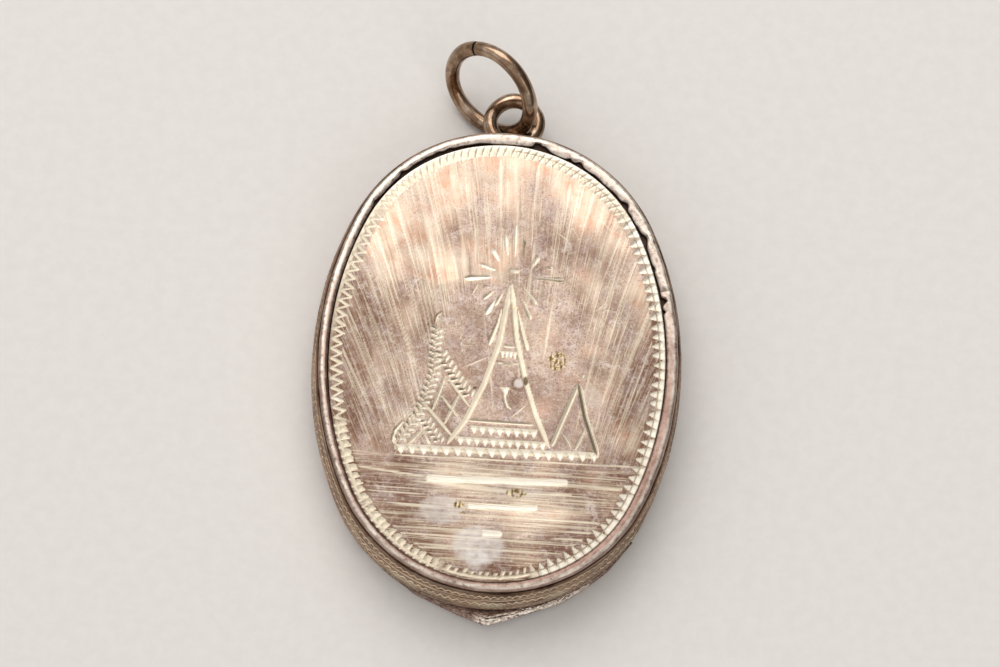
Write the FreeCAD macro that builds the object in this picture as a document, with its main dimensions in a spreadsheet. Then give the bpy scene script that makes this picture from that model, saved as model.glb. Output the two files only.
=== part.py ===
"""Oval silver locket that lies on its back: a deep case with an engraved front, a shallow
hinged back lid with a thumb lip, a soldered bail loop and a split jump ring.

Frame, in millimetres: the origin is the centre of the back plate's outer face, +Z points at
the engraved front and +Y at the bail. Every oval has the same four arc centres, so an oval
that is grown by a length is a true offset of the first one, the outer edge of the front rim.
"""
import FreeCAD
import Part
import Sketcher
import math
import os

V = FreeCAD.Vector
UP = V(0, 0, 1)

SIZES = {
    # the oval that all others are grown from
    "half_width": 14.7, "half_height": 19.8, "end_radius": 13.3,
    # heights above the back
    "rim_base": 5.15, "rim_top": 5.8, "front_shelf_top": 5.3, "front_plate_top": 5.68,
    "back_plate_top": 0.45, "back_shelf_top": 0.62,
    "sleeve_low": 0.65, "sleeve_shelf": 2.55, "sleeve_top": 2.8,
    "case_frame_low": 1.4, "case_window_low": 2.05, "case_card_low": 2.43,
    "lid_window_low": 0.55, "lid_frame_low": 0.8, "lid_frame_high": 1.1,
    # growth of each oval
    "rim_grow": 0.0, "rebate_grow": 0.03, "front_seat_grow": -0.9, "front_plate_grow": -0.93,
    "front_shelf_grow": -1.35, "wall_inside": -0.8, "lid_inside": -0.75,
    "back_seat_grow": -1.0, "back_plate_grow": -1.02, "back_shelf_grow": -1.3,
    "sleeve_inside": -1.15, "sleeve_shelf_grow": -1.6,
    "case_stack_grow": -1.18, "case_frame_inside": -2.2,
    "lid_stack_grow": -1.35, "lid_frame_inside": -2.35,
    # hinge along X at the bail end
    "hinge_out": 20.4, "hinge_up": 1.2, "barrel_radius": 0.5, "barrel_room": 0.53,
    "pin_radius": 0.24, "running_bore": 0.27, "knuckle_gap": 0.05,
    "case_knuckle_half": 0.73, "barrel_half": 2.3, "web_reach": 0.9, "web_high": 0.42,
    # thumb lip
    "lip_low": 0.75, "lip_high": 1.13, "lip_tip_across": 0.3, "lip_tip_out": 21.37,
    "lip_root": 8.4, "lip_root_out": 17.15, "lip_left": 5.6, "lip_left_out": 19.12,
    "lip_bend": 2.0, "lip_bend_out": 20.65, "lip_near": 2.2, "lip_near_out": 20.7,
    "lip_right": 6.1, "lip_right_out": 19.18, "lip_far": 8.2, "lip_far_out": 17.75,
    "lip_last": 10.0, "lip_last_out": 16.15, "lip_end": 11.9, "lip_end_out": 13.6,
    # bail loop and jump ring
    "wire_radius": 0.62, "bail_radius": 2.0, "bail_across": 0.42, "bail_out": 22.09,
    "bail_up": 2.5, "ring_radius": 4.0, "ring_turn": 358.0,
    "ring_across": -1.773, "ring_out": 24.124, "ring_up": 4.376,
}
# outer surfaces, as pairs of height and growth
PROFILES = {
    "lid": [(0.0, -0.55), (0.3, -0.2), (0.7, 0.05), (1.15, 0.22)],
    "wall": [(1.2, 0.28), (2.0, 0.46), (3.0, 0.5), (4.6, 0.34), (5.3, 0.16)],
}
for profile, pairs in PROFILES.items():
    for step, (height, grow) in enumerate(pairs, start=1):
        SIZES["%s_height_%d" % (profile, step)] = height
        SIZES["%s_grow_%d" % (profile, step)] = grow
LID_SEAM = "lid_height_4"
WALL_SEAM, WALL_TOP = "wall_height_1", "wall_height_5"

# the leaning jump ring: its axis, and the way from its centre to the split
RING_AXIS = V(-0.5775, -0.7311, 0.3634)
SPLIT_WAY = V(-0.3644, 0.6291, 0.6866)

doc = FreeCAD.newDocument("locket")
sheet = doc.addObject("Spreadsheet::Sheet", "Sizes")
for row, (alias, value) in enumerate(SIZES.items(), start=1):
    sheet.set("A%d" % row, alias)
    sheet.set("B%d" % row, str(value))
    sheet.setAlias("B%d" % row, alias)
doc.recompute()
SIDE = "((Sizes.half_width^2 + (Sizes.half_height - Sizes.end_radius)^2 - Sizes.end_radius^2)" \
    " / (2 * (Sizes.half_width - Sizes.end_radius)))"


def bind(thing, prop, expression):
    """Binds a property to the sheet; the names and signs have spaces between them."""
    words = ["Sizes." + w if w in SIZES else w for w in expression.split()]
    thing.setExpression(prop, " ".join(words))


def plane(body, role):
    return next(o for o in body.Origin.OriginFeatures if o.Role == role)


def sketch_at(body, name, height, role="XY_Plane"):
    """A sketch on one of a body's own planes, lifted by a named height."""
    sketch = body.newObject("Sketcher::SketchObject", name)
    sketch.AttachmentSupport = [(plane(body, role), "")]
    sketch.MapMode = "FlatFace"
    bind(sketch, "AttachmentOffset.Base.z", height)
    return sketch


def dimension(sketch, kind, expression, *where):
    """Adds a dimension and binds it."""
    at = sketch.addConstraint(Sketcher.Constraint(kind, *where))
    sketch.setExpression("Constraints[%d]" % at, expression)


def add_oval(sketch, grow):
    """Four tangent arcs, grown by a named length."""
    wide, high, end = SIZES["half_width"], SIZES["half_height"], SIZES["end_radius"]
    side = (wide ** 2 + (high - end) ** 2 - end ** 2) / (2 * (wide - end))
    turn = math.atan2(high - end, side - wide)
    arcs = [(V(wide - side, 0, 0), side, -turn, turn),
            (V(0, high - end, 0), end, turn, math.pi - turn),
            (V(side - wide, 0, 0), side, math.pi - turn, math.pi + turn),
            (V(0, end - high, 0), end, math.pi + turn, 2 * math.pi - turn)]
    first = sketch.GeometryCount
    for centre, radius, start, stop in arcs:
        circle = Part.Circle(centre, UP, radius + SIZES[grow])
        sketch.addGeometry(Part.ArcOfCircle(circle, start, stop))
    for i in range(4):
        sketch.addConstraint(
            Sketcher.Constraint("Tangent", first + i, 2, first + (i + 1) % 4, 1))
    for arc, axis in ((0, -1), (2, -1), (1, -2)):
        sketch.addConstraint(Sketcher.Constraint("PointOnObject", first + arc, 3, axis))
    dimension(sketch, "DistanceY", "Sizes.half_height - Sizes.end_radius",
              -1, 1, first + 1, 3, high - end)
    for i, (_, radius, _, _) in enumerate(arcs):
        base = "Sizes.end_radius" if i % 2 else SIDE
        dimension(sketch, "Radius", "%s + Sizes.%s" % (base, grow),
                  first + i, radius + SIZES[grow])


def new_body(name):
    body = doc.addObject("PartDesign::Body", name)
    body.Label = name
    return body


def pad(body, name, low, high, *grows):
    """A flat plate between two heights, or a flat ring when two ovals are given."""
    sketch = sketch_at(body, name + "_sketch", low)
    for grow in grows:
        add_oval(sketch, grow)
    doc.recompute()
    feature = body.newObject("PartDesign::Pad", name)
    feature.Profile = sketch
    bind(feature, "Length", "%s - %s" % (high, low))
    doc.recompute()


def pocket(body, name, low, high, grow):
    """An oval hole between two heights."""
    sketch = sketch_at(body, name + "_sketch", low)
    add_oval(sketch, grow)
    doc.recompute()
    feature = body.newObject("PartDesign::Pocket", name)
    feature.Profile = sketch
    feature.Reversed = True
    bind(feature, "Length", "%s - %s" % (high, low))
    doc.recompute()


def loft(body, name, profile, kind="PartDesign::AdditiveLoft"):
    """The straight-sided solid inside one of the outer profiles."""
    sections = []
    for i in range(1, len(PROFILES[profile]) + 1):
        sketch = sketch_at(body, "%s_section_%d" % (name, i), "%s_height_%d" % (profile, i))
        add_oval(sketch, "%s_grow_%d" % (profile, i))
        sections.append(sketch)
    doc.recompute()
    feature = body.newObject(kind, name)
    feature.Profile = sections[0]
    feature.Sections = sections[1:]
    feature.Ruled = True
    doc.recompute()


def barrel_cut(body, name):
    """Room in a wall for the hinge barrel."""
    sketch = body.newObject("Sketcher::SketchObject", name + "_sketch")
    sketch.AttachmentSupport = [(plane(body, "YZ_Plane"), "")]
    sketch.MapMode = "FlatFace"
    circle = Part.Circle(V(SIZES["hinge_out"], SIZES["hinge_up"], 0), UP, SIZES["barrel_room"])
    sketch.addGeometry(circle)
    dimension(sketch, "DistanceX", "Sizes.hinge_out", -1, 1, 0, 3, SIZES["hinge_out"])
    dimension(sketch, "DistanceY", "Sizes.hinge_up", -1, 1, 0, 3, SIZES["hinge_up"])
    dimension(sketch, "Radius", "Sizes.barrel_room", 0, SIZES["barrel_room"])
    doc.recompute()
    feature = body.newObject("PartDesign::Pocket", name)
    feature.Profile = sketch
    feature.Midplane = True
    bind(feature, "Length", "2 * ( barrel_half + knuckle_gap )")
    doc.recompute()


def cylinder(name, radius, low, high):
    """A cylinder on the hinge's axis, from one distance along X to another."""
    solid = doc.addObject("Part::Cylinder", name)
    bind(solid, "Radius", radius)
    bind(solid, "Height", "%s - ( %s )" % (high, low))
    solid.Placement.Rotation = FreeCAD.Rotation(V(0, 1, 0), 90)
    bind(solid, "Placement.Base.x", low)
    bind(solid, "Placement.Base.y", "hinge_out")
    bind(solid, "Placement.Base.z", "hinge_up")
    return solid


def knuckle(name, low, high, bore, side):
    """One hinge tube with a web into its wall: side is +1 for the case and -1 for the lid."""
    tube = cylinder(name + "_tube", "barrel_radius", low, high)
    web = doc.addObject("Part::Box", name + "_web")
    bind(web, "Length", "%s - ( %s )" % (high, low))
    bind(web, "Width", "web_reach")
    bind(web, "Height", "web_high")
    bind(web, "Placement.Base.x", low)
    bind(web, "Placement.Base.y", "hinge_out - web_reach")
    bind(web, "Placement.Base.z",
         "hinge_up + 0.03" if side > 0 else "hinge_up - web_high - 0.08")
    whole = doc.addObject("Part::Fuse", name + "_solid")
    whole.Base, whole.Tool = tube, web
    hole = cylinder(name + "_bore", bore, low + " - 1", high + " + 1")
    result = doc.addObject("Part::Cut", name)
    result.Base, result.Tool = whole, hole
    result.Label = name
    return result


def torus(name, turn="360"):
    """A ring of wire."""
    ring = doc.addObject("Part::Torus", name)
    ring.Label = name
    bind(ring, "Radius2", "wire_radius")
    bind(ring, "Angle3", turn)
    return ring


nodes = []

# the shallow back lid
back_rim = new_body("back_rim")
loft(back_rim, "dish", "lid")
pocket(back_rim, "plate_seat", "lid_height_1", "back_plate_top", "back_seat_grow")
pocket(back_rim, "shelf_hole", "back_plate_top", "back_shelf_top", "back_shelf_grow")
pocket(back_rim, "sleeve_room", "back_shelf_top", LID_SEAM, "lid_inside")
barrel_cut(back_rim, "lid_barrel_room")
nodes.append(back_rim)

back_plate = new_body("back_plate")
pad(back_plate, "back_sheet", "lid_height_1", "back_plate_top", "back_plate_grow")
nodes.append(back_plate)

lid_picture_card = new_body("lid_picture_card")
pad(lid_picture_card, "lid_card", "back_plate_top", "lid_window_low", "lid_stack_grow")
lid_window = new_body("lid_window")
pad(lid_window, "lid_glass", "lid_window_low", "lid_frame_low", "lid_stack_grow")
lid_picture_frame = new_body("lid_picture_frame")
pad(lid_picture_frame, "lid_ring", "lid_frame_low", "lid_frame_high",
    "lid_stack_grow", "lid_frame_inside")
nodes += [lid_picture_card, lid_window, lid_picture_frame]

# the thumb lip: a flat pointed tab whose root follows the lid's side
thumb_lip = new_body("thumb_lip")
outline = sketch_at(thumb_lip, "lip_outline", "lip_low")
corners = [("-1", "lip_root", "lip_root_out"), ("-1", "lip_left", "lip_left_out"),
           ("-1", "lip_bend", "lip_bend_out"), ("1", "lip_tip_across", "lip_tip_out"),
           ("1", "lip_near", "lip_near_out"), ("1", "lip_right", "lip_right_out"),
           ("1", "lip_far", "lip_far_out"), ("1", "lip_last", "lip_last_out"),
           ("1", "lip_end", "lip_end_out")]
points = [V(float(sign) * SIZES[across], -SIZES[out], 0) for sign, across, out in corners]
count = len(points)
for i in range(count):
    outline.addGeometry(Part.LineSegment(points[i], points[(i + 1) % count]))
for i in range(count):
    outline.addConstraint(Sketcher.Constraint("Coincident", i, 2, (i + 1) % count, 1))
for i, (sign, across, out) in enumerate(corners):
    dimension(outline, "DistanceX", "%s * Sizes.%s" % (sign, across), -1, 1, i, 1, points[i].x)
    dimension(outline, "DistanceY", "-1 * Sizes.%s" % out, -1, 1, i, 1, points[i].y)
doc.recompute()
tab = thumb_lip.newObject("PartDesign::Pad", "lip_tab")
tab.Profile = outline
bind(tab, "Length", "lip_high - lip_low")
doc.recompute()
loft(thumb_lip, "lid_side", "lid", "PartDesign::SubtractiveLoft")
nodes.append(thumb_lip)

# the deep case
case_wall = new_body("case_wall")
loft(case_wall, "band", "wall")
pocket(case_wall, "case_hollow", WALL_SEAM, WALL_TOP, "wall_inside")
pocket(case_wall, "rim_rebate", "rim_base", WALL_TOP, "rebate_grow")
barrel_cut(case_wall, "case_barrel_room")
nodes.append(case_wall)

front_rim = new_body("front_rim")
pad(front_rim, "rim_ring", "rim_base", "rim_top", "rim_grow", "front_shelf_grow")
pocket(front_rim, "front_seat", "front_shelf_top", "rim_top", "front_seat_grow")
nodes.append(front_rim)

front_plate = new_body("front_plate")
pad(front_plate, "front_sheet", "front_shelf_top", "front_plate_top", "front_plate_grow")
nodes.append(front_plate)

inner_sleeve = new_body("inner_sleeve")
pad(inner_sleeve, "sleeve_ring", "sleeve_low", "sleeve_top", "wall_inside",
    "sleeve_shelf_grow")
pocket(inner_sleeve, "stack_room", "sleeve_low", "sleeve_shelf", "sleeve_inside")
nodes.append(inner_sleeve)

case_picture_card = new_body("case_picture_card")
pad(case_picture_card, "case_card", "case_card_low", "sleeve_shelf", "case_stack_grow")
case_window = new_body("case_window")
pad(case_window, "case_glass", "case_window_low", "case_card_low", "case_stack_grow")
case_picture_frame = new_body("case_picture_frame")
pad(case_picture_frame, "case_ring", "case_frame_low", "case_window_low",
    "case_stack_grow", "case_frame_inside")
nodes += [case_picture_card, case_window, case_picture_frame]

# the hinge
nodes.append(knuckle("lid_knuckle_left", "-1 * barrel_half",
                     "-1 * case_knuckle_half - knuckle_gap", "pin_radius", -1))
nodes.append(knuckle("lid_knuckle_right", "case_knuckle_half + knuckle_gap",
                     "barrel_half", "pin_radius", -1))
nodes.append(knuckle("case_knuckle", "-1 * case_knuckle_half", "case_knuckle_half",
                     "running_bore", 1))
hinge_pin = cylinder("hinge_pin", "pin_radius", "-1 * barrel_half", "barrel_half")
hinge_pin.Label = "hinge_pin"
nodes.append(hinge_pin)

# the bail loop, cut to the band that it is soldered to
band = new_body("bail_seat_tool")
loft(band, "band_outside", "wall")
wire_loop = torus("bail_wire")
bind(wire_loop, "Radius1", "bail_radius")
for axis, name in (("x", "bail_across"), ("y", "bail_out"), ("z", "bail_up")):
    bind(wire_loop, "Placement.Base." + axis, name)
bail_loop = doc.addObject("Part::Cut", "bail_loop")
bail_loop.Base, bail_loop.Tool = wire_loop, band
bail_loop.Label = "bail_loop"
nodes.append(bail_loop)

# the jump ring, with its split
jump_ring = torus("jump_ring", "ring_turn")
bind(jump_ring, "Radius1", "ring_radius")
jump_ring.Placement.Rotation = FreeCAD.Rotation(SPLIT_WAY, V(0, 0, 0), RING_AXIS, "ZXY")
for axis, name in (("x", "ring_across"), ("y", "ring_out"), ("z", "ring_up")):
    bind(jump_ring, "Placement.Base." + axis, name)
nodes.append(jump_ring)

doc.recompute()
for thing in doc.Objects:
    if {"Invalid", "Error"} & set(thing.State):
        raise RuntimeError("%s did not build: %s" % (thing.Name, thing.State))
os.makedirs("parts", exist_ok=True)
for node in nodes:
    shape = node.Shape
    if shape.isNull() or not shape.isValid() or len(shape.Solids) != 1:
        raise RuntimeError("%s is not one valid solid" % node.Label)
    shape.exportStep("parts/%s.step" % node.Label)
    box = shape.BoundBox
    print("%-20s %8.3f mm3  x %.2f..%.2f  y %.2f..%.2f  z %.2f..%.2f" % (
        node.Label, shape.Volume, box.XMin, box.XMax, box.YMin, box.YMax, box.ZMin, box.ZMax))
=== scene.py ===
"""Looks of an oval silver locket with an engraved front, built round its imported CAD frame.

Lengths are in millimetres until build() turns them into metres. Every oval has the four arc
centres of the front rim's outer edge, and "grow" is how far a curve lies outside that edge.
"""
import bpy
import math
import numpy as np
from mathutils import Matrix, Vector
from mathutils.geometry import delaunay_2d_cdt


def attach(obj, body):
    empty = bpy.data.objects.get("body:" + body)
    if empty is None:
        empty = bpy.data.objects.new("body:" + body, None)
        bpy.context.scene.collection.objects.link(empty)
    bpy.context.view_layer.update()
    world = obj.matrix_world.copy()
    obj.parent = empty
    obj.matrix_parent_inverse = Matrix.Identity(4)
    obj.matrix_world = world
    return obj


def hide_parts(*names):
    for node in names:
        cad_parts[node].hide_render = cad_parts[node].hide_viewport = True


MM = 0.001
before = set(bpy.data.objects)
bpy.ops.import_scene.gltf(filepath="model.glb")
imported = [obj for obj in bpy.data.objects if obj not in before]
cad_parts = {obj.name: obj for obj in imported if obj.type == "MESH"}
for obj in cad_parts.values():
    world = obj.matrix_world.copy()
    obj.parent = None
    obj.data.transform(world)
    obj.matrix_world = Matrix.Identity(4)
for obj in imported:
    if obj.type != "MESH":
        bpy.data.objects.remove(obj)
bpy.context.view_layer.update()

# ---------------------------------------------------------------- camera
LOOK_TILT, LOOK_TURN, ROLL = math.radians(20), math.radians(8.3), math.radians(2.94)
AIM_HEIGHT, AIM_RIGHT, AIM_UP = 4.5, 0.147, 2.315      # the point in the middle of the view
LOOK_FROM, LENS, SENSOR = 300, 132, 36
toward = Vector((-math.sin(LOOK_TILT) * math.sin(LOOK_TURN),
                 -math.sin(LOOK_TILT) * math.cos(LOOK_TURN), math.cos(LOOK_TILT)))
level_up = Vector((0, 1, 0))
level_up = (level_up - toward * toward.dot(level_up)).normalized()
level_right = level_up.cross(toward)
image_up = math.cos(ROLL) * level_up - math.sin(ROLL) * level_right
image_right = image_up.cross(toward)
aim = Vector((0, 0, AIM_HEIGHT)) + AIM_RIGHT * image_right + AIM_UP * image_up
camera_data = bpy.data.cameras.new("camera")
camera_data.sensor_width = SENSOR
camera_data.lens = LENS
camera_data.clip_start = 0.01
camera = bpy.data.objects.new("camera", camera_data)
bpy.context.scene.collection.objects.link(camera)
turned = Matrix((image_right, image_up, toward)).transposed().to_4x4()
camera.matrix_world = Matrix.Translation((aim + LOOK_FROM * toward) * MM) @ turned
bpy.context.scene.camera = camera
bpy.context.scene.view_settings.view_transform = "Standard"

# ---------------------------------------------------------------- the oval
HALF_WIDE, HALF_HIGH, END_R = 14.7, 19.8, 13.3
END_Y = HALF_HIGH - END_R
SIDE_R = (HALF_WIDE ** 2 + END_Y ** 2 - END_R ** 2) / (2 * (HALF_WIDE - END_R))
SIDE_X = SIDE_R - HALF_WIDE
TURN = math.atan2(END_Y, SIDE_X)
SIDE_LONG = SIDE_R * TURN
QUARTER = SIDE_LONG + END_R * (math.pi / 2 - TURN)
ROUND = 4 * QUARTER


def oval(s):
    """Points and outward normals of the oval at distances s anticlockwise from +X."""
    s = np.mod(np.asarray(s, float), ROUND)
    quarter = np.minimum((s / QUARTER).astype(int), 3)
    t = s - quarter * QUARTER
    t = np.where(quarter % 2 == 1, QUARTER - t, t)
    side = t <= SIDE_LONG
    angle = np.where(side, t / SIDE_R, TURN + (t - SIDE_LONG) / END_R)
    nx, ny = np.cos(angle), np.sin(angle)
    x = np.where(side, -SIDE_X + SIDE_R * nx, END_R * nx)
    y = np.where(side, SIDE_R * ny, END_Y + END_R * ny)
    flip_x, flip_y = np.array([1, -1, -1, 1])[quarter], np.array([1, 1, -1, -1])[quarter]
    return x * flip_x, y * flip_y, nx * flip_x, ny * flip_y


def on_oval(x, y):
    """Distance along the oval and growth of points."""
    ax, ay = np.abs(x), np.abs(y)
    side_angle = np.arctan2(ay, ax + SIDE_X)
    side = side_angle <= TURN
    grow = np.where(side, np.hypot(ax + SIDE_X, ay) - SIDE_R, np.hypot(ax, ay - END_Y) - END_R)
    end_angle = np.arctan2(ay - END_Y, ax)
    t = np.where(side, side_angle * SIDE_R, SIDE_LONG + (end_angle - TURN) * END_R)
    t = np.clip(t, 0, QUARTER)
    s = np.where(x >= 0, np.where(y >= 0, t, 4 * QUARTER - t),
                 np.where(y >= 0, 2 * QUARTER - t, 2 * QUARTER + t))
    return np.mod(s, ROUND), grow


def compass(s):
    """The direction of an oval point from the centre, in degrees from +X."""
    x, y, _, _ = oval(s)
    return np.degrees(np.arctan2(y, x)) % 360


def ripple(s, seed, low, high, count=14):
    """A seeded wavy number round the oval, about -1 to 1, with low to high waves a round."""
    rng = np.random.default_rng(seed)
    total = np.zeros(np.shape(s))
    for _ in range(count):
        waves = rng.integers(low, high + 1)
        total = total + rng.normal() * np.sin(2 * math.pi * waves * s / ROUND
                                              + rng.uniform(0, 2 * math.pi))
    return total / math.sqrt(count)


def swell(x, y, seed, size, count=16):
    """A seeded wavy number over the plane, about -1 to 1, with waves about size long."""
    rng = np.random.default_rng(seed)
    total = np.zeros(np.shape(x))
    for _ in range(count):
        way, long = rng.uniform(0, 2 * math.pi), size * rng.uniform(0.6, 1.6)
        total = total + np.sin(2 * math.pi * (x * math.cos(way) + y * math.sin(way)) / long
                               + rng.uniform(0, 2 * math.pi))
    return total / math.sqrt(count)


def step(value, low, high):
    """0 below low, 1 above high, smooth between."""
    t = np.clip((value - low) / (high - low), 0, 1)
    return t * t * (3 - 2 * t)


def spot(x, y, cx, cy, rx, ry=None):
    """A soft round patch."""
    return np.exp(-(((x - cx) / rx) ** 2 + ((y - cy) / (ry or rx)) ** 2))


def disc(x, y, cx, cy, rx, ry, outer, inner):
    """A round patch that fades between two shares of its radii."""
    return step(-np.hypot((x - cx) / rx, (y - cy) / ry), -outer, -inner)


def between(way, first, last):
    """1 from one compass direction anticlockwise to another, 0 elsewhere."""
    return (step((way - first + 180) % 360 - 180, -3, 3)
            * step((last - way + 180) % 360 - 180, -3, 3))


def measure(path):
    """The parts of a line of points, and how far along the line each point is."""
    parts = np.diff(path, axis=0)
    return parts, np.concatenate([[0], np.cumsum(np.hypot(parts[:, 0], parts[:, 1]))])


# ---------------------------------------------------------------- meshes
def build(name, points, faces, fields=None, sharp=40):
    """A mesh object from points in millimetres, with one float attribute for each field."""
    mesh = bpy.data.meshes.new(name)
    mesh.from_pydata((np.asarray(points, float) * MM).tolist(), [], faces)
    mesh.polygons.foreach_set("use_smooth", np.ones(len(mesh.polygons), bool))
    if sharp:
        mesh.set_sharp_from_angle(angle=math.radians(sharp))
    for field, values in (fields or {}).items():
        layer = mesh.attributes.new(field, "FLOAT", "POINT")
        layer.data.foreach_set("value", np.asarray(values, np.float32).ravel())
    mesh.update()
    obj = bpy.data.objects.new(name, mesh)
    bpy.context.scene.collection.objects.link(obj)
    return obj


def quads(rows, columns, wrap_rows=True, wrap_columns=True):
    """The faces of a grid whose point (r, c) has index r * columns + c."""
    r = np.arange(rows if wrap_rows else rows - 1)[:, None]
    c = np.arange(columns if wrap_columns else columns - 1)[None, :]
    r2, c2 = (r + 1) % rows, (c + 1) % columns
    return np.stack([r * columns + c, r2 * columns + c, r2 * columns + c2, r * columns + c2],
                    axis=-1).reshape(-1, 4)


def sweep(name, profile, count, shape, fields, sharp=40):
    """A closed profile of (grow, height) pairs carried round the oval. shape(s, grow, z)
    gives changes of grow and z; fields(s, grow, z) gives attributes."""
    s = (np.arange(count) * ROUND / count)[:, None]
    grow = np.array([p[0] for p in profile], float)[None, :] + 0 * s
    z = np.array([p[1] for p in profile], float)[None, :] + 0 * s
    s = s + 0 * grow
    x, y, nx, ny = oval(s)
    more_grow, more_z = shape(s, grow, z)
    points = np.stack([x + nx * (grow + more_grow), y + ny * (grow + more_grow), z + more_z],
                      axis=-1).reshape(-1, 3)
    return build(name, points, quads(count, len(profile)).tolist(), fields(s, grow, z), sharp)


# ---------------------------------------------------------------- cutting with a graver
WIDTHS = {
    "leaf": lambda t: np.sin(math.pi * np.clip(t, 0, 1)) ** 0.55,
    "line": lambda t: np.minimum(1, 12 * np.minimum(t, 1 - t)) ** 0.5,
    "bar": lambda t: np.minimum(1, 60 * np.minimum(t, 1 - t)) ** 0.3,
    "drop": lambda t: np.clip(t, 0, 1) ** 0.6 * np.minimum(1, 6 * (1 - t)) ** 0.5,
}


class Plate:
    """The face of an oval plate while it is being engraved: heights and tones of its points."""

    def __init__(self, x, y, off):
        """off is how far the plate is moved from the oval that its growth is measured by."""
        self.x, self.y = x + off[0], y + off[1]
        self.s, self.grow = on_oval(x, y)
        self.high = np.zeros(len(x))
        self.cut, self.dark, self.tarnish_and_sheen = (np.zeros(len(x)) for _ in range(3))
        self.pale, self.bloom, self.rust = (np.zeros(len(x)) for _ in range(3))

    def carve(self, near, high, inside, tone, shade):
        """Lowers some points to a cut's heights and gives them its tones where it covers them."""
        self.high[near] = np.minimum(self.high[near], high)
        self.cut[near] = np.maximum(self.cut[near] * (1 - inside), tone * inside)
        self.dark[near] = np.maximum(self.dark[near] * (1 - inside), shade)

    def stroke(self, points, wide, deep, shape, lean, tone, edge):
        """One cut along a line of points; lean is how far its deepest line lies to the right."""
        points = np.array(points, float)
        low, high = points.min(0) - wide, points.max(0) + wide
        near = np.nonzero((self.x > low[0]) & (self.x < high[0])
                          & (self.y > low[1]) & (self.y < high[1]))[0]
        if not len(near):
            return
        x, y = self.x[near], self.y[near]
        parts = np.diff(points, axis=0)
        longs = np.hypot(parts[:, 0], parts[:, 1])
        best, along, hand = np.full(len(x), 99.0), np.zeros(len(x)), np.ones(len(x))
        gone = 0.0
        for (px, py), (vx, vy), long in zip(points, parts, longs):
            t = np.clip(((x - px) * vx + (y - py) * vy) / long ** 2, 0, 1)
            dx, dy = x - px - t * vx, y - py - t * vy
            far = np.hypot(dx, dy)
            closer = far < best
            best = np.where(closer, far, best)
            along = np.where(closer, (gone + t * long) / longs.sum(), along)
            hand = np.where(closer, np.sign(vx * dy - vy * dx), hand)
            gone += long
        half = np.maximum(0.5 * wide * WIDTHS[shape](along), 0.02)
        across = hand * best / half
        floor = np.where(across < -lean, (across + 1) / (1 - lean), (1 - across) / (1 + lean))
        depth = np.clip(1.9 * floor, 0, 1) * deep * (half / (0.5 * wide))
        inside = np.clip((half - best) / 0.07 + 0.5, 0, 1)
        # painted shadow: the steep side of each cut is darkened as much as edge
        steep = inside * step(-across, lean - 0.25, lean + 0.35)
        self.carve(near, -depth, inside, tone, edge * steep)

    def blank(self, above):
        """Wipes out all cuts outside a growth."""
        outside = self.grow > above
        for values in (self.cut, self.dark, self.high):
            values[outside] = 0

    def tooth(self, top, unit, wide, tall, deep=0.045, tone=0.88, edge=0.9):
        """One pointed cut hanging from the middle of its top edge, across from unit."""
        near = np.nonzero((np.abs(self.x - top[0]) < wide + tall)
                          & (np.abs(self.y - top[1]) < wide + tall))[0]
        x, y = self.x[near] - top[0], self.y[near] - top[1]
        u, v = x * unit[0] + y * unit[1], x * unit[1] - y * unit[0]
        half = 0.5 * wide * np.clip(1 - v / tall, 0, 1) ** 0.85
        off = u - 0.12 * v
        far = np.minimum(half - np.abs(off), v)
        inside = np.clip(far / 0.06 + 0.5, 0, 1) * (v < tall)
        # painted shadow along the left side of the pointed cut, as dark as edge
        side = inside * step(-off - half, -0.08, -0.01) * step(v, 0.05, 0.2)
        self.carve(near, -deep * np.clip(far / (0.35 * wide), 0, 1), inside, tone, edge * side)


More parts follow.
